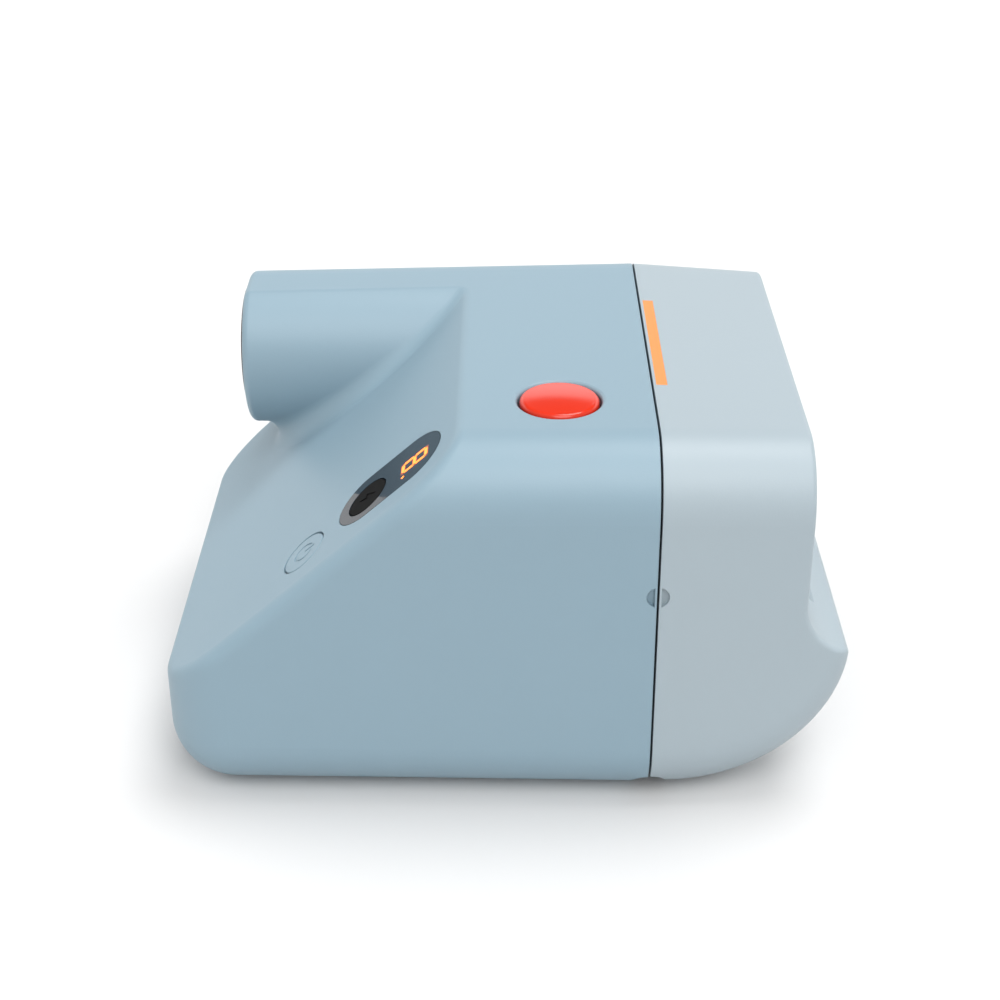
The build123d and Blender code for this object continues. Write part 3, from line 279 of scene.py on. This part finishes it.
def silvered(name, base, roughness):
    """Vacuum-deposited aluminium: a mirror with the faint ripple of what lies under it."""
    material, tree, shader = new_material(name, {"Metallic": 1.0})
    coords = place(tree)
    mottle(tree, shader, coords, 5 * MM, roughness, roughness + 0.05, base, 0.03)
    ripple = add_node(tree, "ShaderNodeTexNoise", {"Scale": 1 / (3 * MM)}, {"Vector": coords})
    relief(tree, shader, ripple.outputs[0], 0.002 * MM, 0.1 * MM)
    return material


def coated_glass(name, base, sheen_low, sheen_high):
    """Coated optical glass: clear, with a violet to green bloom where it turns away."""
    material, tree, shader = new_material(name, {"IOR": 1.52, "Transmission Weight": 1.0,
                                                 "Coat Weight": 0.6, "Coat Roughness": 0.02})
    coords = place(tree)
    mottle(tree, shader, coords, 4 * MM, 0.01, 0.03, base, 0.01)
    facing = add_node(tree, "ShaderNodeLayerWeight", {"Blend": 0.4})
    bloom = add_node(tree, "ShaderNodeMix", {"data_type": "RGBA", 6: sheen_low, 7: sheen_high},
                     {0: facing.outputs["Facing"]})
    tree.links.new(bloom.outputs[2], shader.inputs["Specular Tint"])
    return material


def smoked(name, base):
    """Smoked acrylic: nearly black and optically flat, with a clean mirror-like face."""
    material, tree, shader = new_material(name, {"IOR": 1.49, "Specular IOR Level": 0.4})
    coords = place(tree)
    mottle(tree, shader, coords, 9 * MM, 0.02, 0.05, base, 0.05)
    return material, tree, shader


def ribbed(name, base):
    """Ribbed polycarbonate: milky, with fine level ribs that spread the flash."""
    material, tree, shader = new_material(name, {"IOR": 1.58, "Transmission Weight": 0.55})
    coords = place(tree)
    mottle(tree, shader, coords, 5 * MM, 0.22, 0.34, base, 0.02)
    ribs = add_node(tree, "ShaderNodeTexWave", {"wave_type": "BANDS", "bands_direction": "Z",
                                                "Scale": WAVE_LENGTH / FLASH_RIBS}, {"Vector": coords})
    relief(tree, shader, ribs.outputs[0], 0.12 * MM, 0.1 * MM)
    return material


def board_mask(name, base, track):
    """Glass-fibre board under solder mask: satin green with raised copper tracks."""
    material, tree, shader = new_material(name, {"IOR": 1.5, "Roughness": 0.38})
    coords = place(tree)
    tracks = add_node(tree, "ShaderNodeTexBrick",
                      {"Scale": 1 / (5.2 * MM), "Mortar Size": 0.035, "Color1": base,
                       "Color2": shade(base, 0.9), "Mortar": track}, {"Vector": coords})
    tree.links.new(tracks.outputs["Color"], shader.inputs["Base Color"])
    relief(tree, shader, tracks.outputs["Fac"], 0.05 * MM, 0.08 * MM)
    return material


def foil(name, base):
    """Aluminium laminate round a pouch cell: dull metal with soft creases."""
    material, tree, shader = new_material(name, {"Metallic": 0.75})
    coords = place(tree)
    mottle(tree, shader, coords, 7 * MM, 0.34, 0.5, base, 0.06)
    crease = add_node(tree, "ShaderNodeTexVoronoi", {"Scale": 1 / (6 * MM), "feature": "SMOOTH_F1"},
                      {"Vector": coords})
    relief(tree, shader, crease.outputs[0], 0.12 * MM, 0.3 * MM)
    return material


def film_print(name, border, picture, low, high):
    """Instant film: a satin white border round a dark glossy picture area."""
    material, tree, shader = new_material(name, {"IOR": 1.5})
    middle = (low + high) / 2
    coords = place(tree, move=-middle)
    size = add_node(tree, "ShaderNodeVectorMath", {"operation": "ABSOLUTE"}, {0: coords})
    parts = add_node(tree, "ShaderNodeSeparateXYZ", links={0: size.outputs[0]})
    larger = add_node(tree, "ShaderNodeMath", {"operation": "MAXIMUM"},
                      {0: parts.outputs[0], 1: parts.outputs[1]})
    inside = add_node(tree, "ShaderNodeMath", {"operation": "LESS_THAN", 1: PICTURE_HALF},
                      {0: larger.outputs[0]})
    mix = add_node(tree, "ShaderNodeMix", {"data_type": "RGBA", 6: border, 7: picture},
                   {0: inside.outputs[0]})
    rough = add_node(tree, "ShaderNodeMapRange", {"To Min": 0.5, "To Max": 0.2},
                     {"Value": inside.outputs[0]})
    fibre = add_node(tree, "ShaderNodeTexNoise", {"Scale": 1 / (0.4 * MM)}, {"Vector": coords})
    tree.links.new(mix.outputs[2], shader.inputs["Base Color"])
    tree.links.new(rough.outputs[0], shader.inputs["Roughness"])
    relief(tree, shader, fibre.outputs[0], 0.004 * MM, 0.1 * MM)
    return material


def finish(material, *nodes):
    """Gives CAD nodes one material."""
    for name in nodes:
        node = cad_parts[name]
        node.data.materials.clear()
        node.data.materials.append(material)


def slope_turn():
    """The angle of the sloping back, from the face of the display window."""
    areas = {}
    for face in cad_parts["display_window"].data.polygons:
        key = tuple(round(c, 3) for c in face.normal)
        areas[key] = areas.get(key, 0) + face.area
    facing = max((n for n in areas if n[2] > 0.1 and n[1] > 0.1), key=lambda n: areas[n])
    return math.atan2(facing[1], facing[2])


def figure_place():
    """The turn of the slope, then the figure's middle, half width, half height and left end."""
    back = Matrix.Rotation(slope_turn(), 3, "X")
    points = [back @ v.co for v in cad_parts["counter_digit"].data.vertices]
    low, high = min(p.y for p in points), max(p.y for p in points)
    body = [p for p in points if p.y < (low + high) / 2]
    left, right = min(p.x for p in body), max(p.x for p in body)
    top = max(p.z for p in points)
    middle = Vector(((left + right) / 2, (low + high) / 2, top))
    return back, middle, (right - left) / 2, (high - low) / 2, min(p.x for p in points)


def build(name, bm, material, body):
    """Makes one object from a bmesh and lets it ride on a body."""
    mesh = bpy.data.meshes.new(name)
    bm.normal_update()
    bm.to_mesh(mesh)
    bm.free()
    for face in mesh.polygons:
        face.use_smooth = True
    mesh.set_sharp_from_angle(angle=math.radians(35))
    mesh.materials.append(material)
    piece = bpy.data.objects.new(name, mesh)
    bpy.context.scene.collection.objects.link(piece)
    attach(piece, body)
    return piece


def add_block(bm, middle, size, edge):
    """A block with softened edges."""
    made = bmesh.ops.create_cube(bm, size=1.0)["verts"]
    bmesh.ops.scale(bm, vec=Vector(size), verts=made)
    bmesh.ops.translate(bm, vec=Vector(middle), verts=made)
    edges = list({e for v in made for e in v.link_edges})
    bmesh.ops.bevel(bm, geom=edges, offset=edge, segments=2, affect="EDGES", profile=0.6)


def add_turning(bm, profile, origin, axis, steps):
    """A turned shape: profile points are (distance along the axis, radius)."""
    turn = Vector((0, 0, 1)).rotation_difference(Vector(axis)).to_matrix()
    rings = []
    for along, radius in profile:
        ring = []
        for k in range(steps):
            a = 2 * math.pi * k / steps
            spoke = Vector((radius * math.cos(a), radius * math.sin(a), along))
            ring.append(bm.verts.new(Vector(origin) + turn @ spoke))
        rings.append(ring)
    for low, high in zip(rings, rings[1:]):
        for k in range(steps):
            bm.faces.new((low[k], low[(k + 1) % steps], high[(k + 1) % steps], high[k]))
    bm.faces.new(list(reversed(rings[0])))
    bm.faces.new(rings[-1])


def add_screw(bm, origin, axis, r):
    """A pan-head screw of head radius r with a round recess."""
    add_turning(bm, [(0, 0.98 * r), (0.35 * r, r), (0.6 * r, 0.86 * r), (0.75 * r, 0.55 * r),
                     (0.78 * r, 0.34 * r), (0.5 * r, 0.28 * r), (0.4 * r, 0.05 * r)], origin, axis, 24)


def lead(name, points, radius, material, body, slot_name):
    """An insulated lead along a smooth line, as a piece that stays on one body."""
    curve = bpy.data.curves.new(name, "CURVE")
    curve.dimensions = "3D"
    curve.bevel_depth = radius
    curve.bevel_resolution = 3
    spline = curve.splines.new("NURBS")
    spline.points.add(len(points) - 1)
    for point, at in zip(spline.points, points):
        point.co = (*at, 1)
    spline.order_u = 3
    spline.use_endpoint_u = True
    curve.materials.append(material)
    piece = bpy.data.objects.new(name, curve)
    bpy.context.scene.collection.objects.link(piece)
    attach(piece, body)


class CAMERA_OT_shells(bpy.types.Operator):
    """Gives both shells, the power key, the release and the strip their moulded finish"""

    bl_idname = "instant_camera.shells"
    bl_label = "Shells"

    def execute(self, context):
        s = context.scene.shell_finish
        rear = moulded("rear ABS, spark-eroded", s.rear, s.grain, s.depth, s.roughness, s.edge)
        front = moulded("front ABS, spark-eroded", s.front, s.grain, s.depth, s.roughness, s.edge)
        strip = moulded("accent ABS, satin", s.strip, s.grain, s.depth / 2, 0.4, 0.05 * MM)
        finish(rear, "rear_shell", "power_key", "door_release")
        finish(front, "front_shell")
        finish(strip, "accent_strip")
        return {"FINISHED"}


class CAMERA_OT_black_mouldings(bpy.types.Operator):
    """Gives the black frames, chamber, shutter and barrel their finish"""

    bl_idname = "instant_camera.black_mouldings"
    bl_label = "Black mouldings"

    def execute(self, context):
        black = context.scene.inner_finish.black
        finish(moulded("black ABS, coarse grain", black, 0.5 * MM, 0.012 * MM, 0.6, 0.15 * MM),
               "seam_frame", "film_tray", "dark_box", "shutter_housing", "roller_frame", "film_cartridge")
        finish(moulded("black ABS, fine grain", shade(black, 0.8), 0.25 * MM, 0.006 * MM, 0.42, 0.12 * MM),
               "lens_bezel", "eyepiece_ring")
        # blackened inner tubes carry fine light-trap threads
        material, tree, shader = new_material("black ABS, threaded", {"IOR": 1.54})
        coords = place(tree)
        mottle(tree, shader, coords, 8 * MM, 0.5, 0.62, shade(black, 0.6), 0.02)
        thread = add_node(tree, "ShaderNodeTexWave",
                          {"wave_type": "BANDS", "bands_direction": "Y",
                           "Scale": WAVE_LENGTH / LIGHT_TRAP_THREAD}, {"Vector": coords})
        relief(tree, shader, thread.outputs[0], 0.1 * MM, 0.1 * MM)
        finish(material, "lens_barrel", "finder_tunnel")
        # blackened spring steel blades, thin and satin
        material, tree, shader = new_material("blackened blade steel", {"Metallic": 0.8})
        coords = place(tree, stretch=(1, 1, 0.1))
        mottle(tree, shader, coords, 0.4 * MM, 0.36, 0.5, shade(black, 1.6), 0.08)
        finish(material, "shutter_blade_a", "shutter_blade_b")
        # felt light seal with a short dense pile
        material, tree, shader = new_material("black felt", {"IOR": 1.5, "Sheen Weight": 0.5,
                                                             "Sheen Roughness": 0.5})
        coords = place(tree)
        mottle(tree, shader, coords, 0.35 * MM, 0.9, 1.0, shade(black, 0.7), 0.25)
        pile = add_node(tree, "ShaderNodeTexNoise", {"Scale": 1 / (0.12 * MM), "Detail": 4.0},
                        {"Vector": coords})
        relief(tree, shader, pile.outputs[0], 0.08 * MM, 0.2 * MM)
        finish(material, "slot_seal")
        return {"FINISHED"}


class CAMERA_OT_button(bpy.types.Operator):
    """Gives the top button its gloss"""

    bl_idname = "instant_camera.button"
    bl_label = "Top button"

    def execute(self, context):
        red = context.scene.key_finish.button
        finish(glossy("red polycarbonate, polished", red, 0.15 * MM), "shutter_button")
        return {"FINISHED"}


class CAMERA_OT_display(bpy.types.Operator):
    """Finishes the smoked window with the glow of the figure in it, and the mode key"""

    bl_idname = "instant_camera.display"
    bl_label = "Display and mode key"

    def execute(self, context):
        k = context.scene.key_finish
        material, tree, shader = smoked("smoked acrylic, lit behind", k.window)
        _, middle, half_w, half_h, _ = figure_place()
        # how far a point on the window lies from the lines of the figure, folded into one quarter of it
        vector, number = "ShaderNodeVectorMath", "ShaderNodeMath"
        post = (half_h - k.stroke / 2) / 2
        coords = place(tree, turn=(slope_turn(), 0, 0), move=-middle)
        fold = add_node(tree, vector, {"operation": "ABSOLUTE"}, {0: coords})
        shift = add_node(tree, vector, {"operation": "SUBTRACT", 1: (0, post, 0)}, {0: fold.outputs[0]})
        again = add_node(tree, vector, {"operation": "ABSOLUTE"}, {0: shift.outputs[0]})
        corner = add_node(tree, vector, {"operation": "SUBTRACT", 1: (half_w - k.stroke / 2, post, 0)},
                          {0: again.outputs[0]})
        flat = add_node(tree, vector, {"operation": "MULTIPLY", 1: (1, 1, 0)}, {0: corner.outputs[0]})
        outside = add_node(tree, vector, {"operation": "MAXIMUM", 1: (0, 0, 0)}, {0: flat.outputs[0]})
        length = add_node(tree, vector, {"operation": "LENGTH"}, {0: outside.outputs[0]})
        parts = add_node(tree, "ShaderNodeSeparateXYZ", links={0: flat.outputs[0]})
        deepest = add_node(tree, number, {"operation": "MAXIMUM"},
                           {0: parts.outputs[0], 1: parts.outputs[1]})
        inner = add_node(tree, number, {"operation": "MINIMUM", 1: 0.0}, {0: deepest.outputs[0]})
        away = add_node(tree, number, {"operation": "ADD"},
                        {0: length.outputs["Value"], 1: inner.outputs[0]})
        apart = add_node(tree, number, {"operation": "ABSOLUTE"}, {0: away.outputs[0]})
        # the light spreads a little way from those lines
        fade = add_node(tree, "ShaderNodeMapRange",
                        {"interpolation_type": "SMOOTHSTEP", "From Min": k.stroke / 2,
                         "From Max": k.stroke / 2 + k.glow, "To Min": 0.6, "To Max": 0.0},
                        {"Value": apart.outputs[0]})
        shader.inputs["Emission Color"].default_value = shade(k.rim, 0.6)
        tree.links.new(fade.outputs[0], shader.inputs["Emission Strength"])
        finish(material, "display_window")
        key = moulded("black silicone key, matt", k.key, 0.3 * MM, 0.004 * MM, 0.8, 0.12 * MM, 1.2)
        finish(key, "mode_key")
        return {"FINISHED"}


class CAMERA_OT_figure(bpy.types.Operator):
    """Builds the lit seven-segment figure and its point"""

    bl_idname = "instant_camera.figure"
    bl_label = "Lit figure"

    def execute(self, context):
        k = context.scene.key_finish
        back, middle, half_w, half_h, left = figure_place()
        up = back.transposed()
        bm = bmesh.new()
        heat = bm.verts.layers.float.new("heat")

        def segment(x, y, along, across, level):
            """One lit bar: a hot core inside a cooler rim."""
            rings = []
            for share, warmth in ((1.0, 0.0), (0.62, 0.55), (0.3, 1.0)):
                a, b = along / 2 - across / 2 * (1 - share), across / 2 * share
                outline = [(-a, 0), (-a + b, b), (a - b, b), (a, 0), (a - b, -b), (-a + b, -b)]
                ring = []
                for u, v in outline:
                    right, down = (u, v) if level else (v, u)
                    vert = bm.verts.new(up @ (middle + Vector((x + right, y + down, 0.02 * MM))))
                    vert[heat] = warmth
                    ring.append(vert)
                rings.append(ring if level else list(reversed(ring)))
            for outer, core in zip(rings, rings[1:]):
                for n in range(6):
                    bm.faces.new((outer[n], core[n], core[(n + 1) % 6], outer[(n + 1) % 6]))
            bm.faces.new(list(reversed(rings[-1])))

        t = k.stroke
        bar = 2 * half_w - t * 1.15
        post = half_h - t * 0.65
        for row in (-1, 0, 1):
            segment(0, row * (half_h - t / 2), bar, t, True)
        for column in (-1, 1):
            for row in (-1, 1):
                segment(column * (half_w - t / 2), row * (half_h - t / 2) / 2, post, t, False)
        dot = left - middle.x + 0.35 * MM
        segment(dot, half_h - 0.35 * MM, 0.8 * MM, 0.7 * MM, True)
        # an LED behind a diffuser: pale yellow where it is hottest, orange at the edges
        material, tree, shader = new_material("lit segment", {"Roughness": 0.3,
                                                              "Emission Strength": k.brightness})
        warm = add_node(tree, "ShaderNodeAttribute", {"attribute_name": "heat"})
        ramp = add_node(tree, "ShaderNodeValToRGB", links={0: warm.outputs["Fac"]})
        ramp.color_ramp.elements[0].color = k.rim
        ramp.color_ramp.elements[1].color = k.core
        tree.links.new(ramp.outputs[0], shader.inputs["Emission Color"])
        tree.links.new(ramp.outputs[0], shader.inputs["Base Color"])
        piece = build("counter_figure", bm, material, "housing")
        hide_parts("counter_digit")
        return {"FINISHED"}


class CAMERA_OT_optics(bpy.types.Operator):
    """Finishes the lens, its window, the viewfinder glass, the sensor and the mirror"""

    bl_idname = "instant_camera.optics"
    bl_label = "Optics"

    def execute(self, context):
        lens = coated_glass("coated lens glass", linear("#F4F8F8"), linear("#8C7BD9"), linear("#7FD9B0"))
        clear = coated_glass("coated window", linear("#F2F5F6"), linear("#A8B8E8"), linear("#D9F0E4"))
        finish(lens, "front_element", "rear_element", "finder_objective", "eyepiece_lens")
        finish(clear, "lens_window")
        pane, _, _ = smoked("smoked acrylic pane", linear("#12171B"))
        finish(pane, "finder_window", "sensor_window")
        finish(silvered("front-silvered mirror", linear("#E6EAEA"), 0.01), "mirror")
        return {"FINISHED"}


class CAMERA_OT_flash(bpy.types.Operator):
    """Finishes the flash and builds its leads"""

    bl_idname = "instant_camera.flash"
    bl_label = "Flash"

    def execute(self, context):
        f = context.scene.fitting_sizes
        finish(ribbed("ribbed polycarbonate", linear("#E6EAEC")), "flash_window")
        finish(silvered("metallised reflector", linear("#E8E8E8"), 0.12), "flash_reflector")
        tube = coated_glass("quartz tube", linear("#F8FAFA"), linear("#D0E0FF"), linear("#E8F0FF"))
        finish(tube, "flash_tube")
        low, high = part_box("flash_tube")
        _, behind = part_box("flash_reflector")
        level = (low.z + high.z) / 2
        across = (low.y + high.y) / 2
        for side, name, hex_colour in ((-1, "flash_lead_red", "#B5201A"),
                                       (1, "flash_lead_white", "#D8D8D4")):
            end = low.x if side < 0 else high.x
            start = Vector((end - side * 0.2 * MM, across, level))
            points = [start,
                      start + Vector((side * 0.7 * MM, 0, 0)),
                      start + Vector((side * 0.9 * MM, 2.5 * MM, -1 * MM)),
                      Vector((start.x + side * 0.4 * MM, behind.y + 1.0 * MM, level - 2 * MM)),
                      Vector((start.x - side * 2.5 * MM, behind.y + 1.2 * MM, level - 3 * MM))]
            wrap = glossy("lead insulation " + name, linear(hex_colour), 0.05 * MM)
            lead(name, points, f.lead, wrap, "door", "capacitor_sleeve")
        return {"FINISHED"}


class CAMERA_OT_drive(bpy.types.Operator):
    """Finishes rollers, gears, motor, pins and base screws, and builds the end cap of the motor"""

    bl_idname = "instant_camera.drive"
    bl_label = "Film drive"

    def execute(self, context):
        inner = context.scene.inner_finish
        along_x = (0, math.radians(90), 0)
        finish(turned("ground roller steel", inner.steel, along_x, 0.24),
               "lower_roller", "upper_roller", "hinge_pin")
        finish(turned("zinc-plated steel", shade(inner.steel, 0.9), (0, 0, 0), 0.36),
               "base_screws", "pick_arm")
        finish(turned("drawn motor can", shade(inner.steel, 0.8), along_x, 0.34), "motor")
        # acetal gears look waxy: a matt ivory that lets a little light in
        material, tree, shader = new_material("moulded acetal", {"IOR": 1.48, "Subsurface Weight": 0.15,
                                                                 "Subsurface Scale": 0.4 * MM})
        coords = place(tree)
        mottle(tree, shader, coords, 2 * MM, 0.36, 0.46, inner.gear, 0.02)
        flow = add_node(tree, "ShaderNodeTexNoise", {"Scale": 1 / (0.5 * MM)}, {"Vector": coords})
        relief(tree, shader, flow.outputs[0], 0.01 * MM, 0.08 * MM)
        finish(material, "lower_roller_gear", "upper_roller_gear", "idler_gear", "motor_pinion")
        low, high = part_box("motor")
        middle = (low + high) / 2
        r = (high.y - low.y) / 2
        bm = bmesh.new()
        add_turning(bm, [(0, r * 0.86), (0.7 * MM, r * 0.86), (0.9 * MM, r * 0.8), (0.9 * MM, r * 0.4),
                         (1.5 * MM, r * 0.36), (1.6 * MM, r * 0.3)],
                    (high.x, middle.y, middle.z), (1, 0, 0), 40)
        nylon = moulded("nylon end cap", linear("#E9E6DA"), 0.4 * MM, 0.01 * MM, 0.45, 0.1 * MM)
        build("motor_end_cap", bm, nylon, "door")
        bm = bmesh.new()
        for side in (-1, 1):
            add_block(bm, (high.x + 1.3 * MM, middle.y + side * r * 0.6, middle.z),
                      (0.8 * MM, 0.3 * MM, 1.4 * MM), 0.06 * MM)
        contact = turned("plated contact", inner.gold, along_x, 0.3)
        build("motor_terminals", bm, contact, "door")
        return {"FINISHED"}


class CAMERA_OT_film(bpy.types.Operator):
    """Finishes the film stack"""

    bl_idname = "instant_camera.film"
    bl_label = "Film"

    def execute(self, context):
        inner = context.scene.inner_finish
        low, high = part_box("film_stack")
        finish(film_print("instant film", inner.paper, inner.picture, low, high), "film_stack")
        return {"FINISHED"}


class CAMERA_OT_electronics(bpy.types.Operator):
    """Finishes boards, battery, capacitor and socket, and builds the chips"""

    bl_idname = "instant_camera.electronics"
    bl_label = "Electronics"

    def execute(self, context):
        inner = context.scene.inner_finish
        f = context.scene.fitting_sizes
        finish(board_mask("green solder mask", inner.board, inner.track),
               "main_board", "key_board", "button_switch")
        finish(foil("foil laminate", inner.wrap), "battery")
        finish(glossy("heat-shrink sleeve", linear("#16181C"), 0.2 * MM), "flash_capacitor")
        finish(turned("stamped socket shell", inner.steel, (0, math.radians(90), 0), 0.3), "charge_socket")
        low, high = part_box("main_board")
        # chips and passives under the main board, on the side that faces the base
        under = high.z - 1.2 * MM
        bm = bmesh.new()
        legs = bmesh.new()
        for x, y, dx, dy in CHIPS:
            centre = Vector((x * MM, y * MM + low.y + 10 * MM, under - f.chip / 2))
            add_block(bm, centre, (dx * MM, dy * MM, f.chip), f.edge)
            for k in range(dy - 1):
                for side in (-1, 1):
                    reach = side * (dx / 2 + 0.45) * MM
                    at = centre + Vector((reach, (k - (dy - 2) / 2) * MM, 0.2 * MM))
                    add_block(legs, at, (0.9 * MM, 0.4 * MM, 0.3 * MM), 0.05 * MM)
        for k in range(SMALL_PARTS):
            at = Vector((low.x + (3 + 2.7 * k) * MM, low.y + (3.2 + 3 * (k % 3)) * MM, under - 0.3 * MM))
            add_block(bm, at, (1.6 * MM, 0.8 * MM, 0.6 * MM), 0.08 * MM)
        epoxy = moulded("moulded epoxy", linear("#1B1C1E"), 0.3 * MM, 0.008 * MM, 0.55, 0.08 * MM)
        build("board_chips", bm, epoxy, "housing")
        build("chip_legs", legs, turned("tinned leg", inner.steel, (0, 0, 0), 0.35), "housing")
        return {"FINISHED"}


class CAMERA_OT_small_screws(bpy.types.Operator):
    """Builds the small screws of the shutter housing"""

    bl_idname = "instant_camera.small_screws"
    bl_label = "Small screws"

    def execute(self, context):
        inner = context.scene.inner_finish
        radius = context.scene.fitting_sizes.screw
        steel = turned("small zinc screws", shade(inner.steel, 0.85), (0, 0, 0), 0.32)
        low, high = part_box("shutter_housing")
        inset = 1.6 * MM
        bm = bmesh.new()
        for x in (low.x + inset, high.x - inset):
            for z in (low.z + inset, high.z - inset):
                add_screw(bm, (x, low.y, z), (0, -1, 0), radius)
        build("shutter_screws", bm, steel, "housing")
        return {"FINISHED"}


class CAMERA_OT_stage(bpy.types.Operator):
    """Lays the pale floor and sets the surround, the lights and the camera"""

    bl_idname = "instant_camera.stage"
    bl_label = "Stage"

    def execute(self, context):
        s = context.scene.studio
        scene = context.scene
        scene.view_settings.view_transform = "Standard"
        low = Vector(CAD_BOX[0])
        bm = bmesh.new()
        bmesh.ops.create_grid(bm, x_segments=8, y_segments=8, size=s.floor / 2)
        mesh = bpy.data.meshes.new("floor")
        bm.to_mesh(mesh)
        bm.free()
        floor = bpy.data.objects.new("floor", mesh)
        floor.location = (0, 0, low.z - FLOOR_GAP)
        scene.collection.objects.link(floor)
        # matt painted board, even and white
        material, tree, shader = new_material("matt white board", {"IOR": 1.4, "Specular IOR Level": 0.1})
        mottle(tree, shader, place(tree), 0.4, 0.85, 0.95, s.tint, 0.003)
        mesh.materials.append(material)
        # white surround: a brighter card low on the far side, dimmer above it, and a soft box overhead
        world = bpy.data.worlds.new("white surround")
        scene.world = world
        world.use_nodes = True
        tree = world.node_tree
        tree.nodes.clear()
        where = add_node(tree, "ShaderNodeTexCoord")
        parts = add_node(tree, "ShaderNodeSeparateXYZ", links={0: where.outputs["Generated"]})

        toward = add_node(tree, "ShaderNodeVectorMath",
                          {"operation": "DOT_PRODUCT", 1: Vector(BOX_FROM).normalized()},
                          {0: where.outputs["Generated"]})
        # each level rises smoothly from nothing to its top between two limits of a direction
        level = {}
        for name, socket, start, end, top in (
                ("far side", parts.outputs[0], 0.0, 0.5, 1.0),
                ("card top", parts.outputs[2], 0.50, 0.40, s.sky),
                ("card foot", parts.outputs[2], 0.05, 0.30, 1.0),
                ("above card", parts.outputs[2], 0.40, 0.50, 1.0),
                ("soft box", toward.outputs["Value"], math.cos(BOX_OUTER), math.cos(BOX_INNER), s.box)):
            step = add_node(tree, "ShaderNodeMapRange",
                            {"interpolation_type": "SMOOTHSTEP", "From Min": start, "From Max": end,
                             "To Min": 0.0, "To Max": top}, {"Value": socket})
            level[name] = step.outputs[0]
        maths = "ShaderNodeMath"
        band = add_node(tree, maths, {"operation": "MULTIPLY"},
                        {0: level["card top"], 1: level["card foot"]})
        card = add_node(tree, maths, {"operation": "MULTIPLY"}, {0: level["far side"], 1: band.outputs[0]})
        bright = add_node(tree, maths, {"operation": "ADD"}, {0: card.outputs[0], 1: level["soft box"]})
        lit = add_node(tree, maths, {"operation": "ADD", 1: s.sky}, {0: bright.outputs[0]})
        above = add_node(tree, maths, {"operation": "MULTIPLY"},
                         {0: level["far side"], 1: level["above card"]})
        dimming = add_node(tree, maths, {"operation": "MULTIPLY", 1: FAR_DIMMING * s.sky},
                           {0: above.outputs[0]})
        total = add_node(tree, maths, {"operation": "SUBTRACT"}, {0: lit.outputs[0], 1: dimming.outputs[0]})
        surround = add_node(tree, "ShaderNodeBackground", {"Color": (1, 1, 1, 1)},
                            {"Strength": total.outputs[0]})
        add_node(tree, "ShaderNodeOutputWorld", links={0: surround.outputs[0]})
        light = bpy.data.lights.new("broad_light", "SUN")
        light.energy = s.key
        light.angle = s.spread
        lamp = bpy.data.objects.new("broad_light", light)
        lamp.rotation_euler = Vector(SUN_FROM).to_track_quat("Z", "Y").to_euler()
        scene.collection.objects.link(lamp)
        data = bpy.data.cameras.new("view")
        data.lens = s.focal
        data.sensor_width = SENSOR_WIDTH
        data.shift_x = FRAME_SHIFT
        data.clip_start = 0.01
        camera = bpy.data.objects.new("view", data)
        # the view looks along +X from one side, tilted down
        sine, cosine = math.sin(s.tilt), math.cos(s.tilt)
        look = Matrix(((0, sine, -cosine), (-1, 0, 0), (0, cosine, sine)))
        stand = Matrix.Translation((-s.distance, VIEW_OFFSET, s.height))
        camera.matrix_world = stand @ look.to_4x4()
        scene.collection.objects.link(camera)
        scene.camera = camera
        return {"FINISHED"}


OPERATORS = (
    CAMERA_OT_shells, CAMERA_OT_black_mouldings, CAMERA_OT_button, CAMERA_OT_display, CAMERA_OT_figure,
    CAMERA_OT_optics, CAMERA_OT_flash, CAMERA_OT_drive, CAMERA_OT_film, CAMERA_OT_electronics,
    CAMERA_OT_small_screws, CAMERA_OT_stage,
)
GROUPS = (
    ("shell_finish", ShellFinish), ("key_finish", KeyFinish), ("inner_finish", InnerFinish),
    ("fitting_sizes", FittingSizes), ("studio", Studio),
)


class CAMERA_PT_kit(bpy.types.Panel):
    """Lists the pieces and their sizes and colours"""

    bl_idname = "CAMERA_PT_kit"
    bl_label = "Instant camera"
    bl_space_type = "VIEW_3D"
    bl_region_type = "UI"
    bl_category = "Camera"

    def draw(self, context):
        for operator in OPERATORS:
            self.layout.operator(operator.bl_idname)
        for name, group in GROUPS:
            box = self.layout.box()
            box.label(text=group.__doc__)
            for key in group.__annotations__:
                box.prop(getattr(context.scene, name), key)


def register():
    """Registers the groups, the operators and the panel."""
    for name, group in GROUPS:
        bpy.utils.register_class(group)
        setattr(bpy.types.Scene, name, PointerProperty(type=group))
    for kind in (*OPERATORS, CAMERA_PT_kit):
        bpy.utils.register_class(kind)


def unregister():
    """Takes them all out again."""
    for kind in reversed((*OPERATORS, CAMERA_PT_kit)):
        bpy.utils.unregister_class(kind)
    for name, group in reversed(GROUPS):
        delattr(bpy.types.Scene, name)
        bpy.utils.unregister_class(group)


def main():
    """Runs every operator in order."""
    register()
    for operator in OPERATORS:
        family, name = operator.bl_idname.split(".")
        getattr(getattr(bpy.ops, family), name)()


if __name__ == "__main__":
    main()
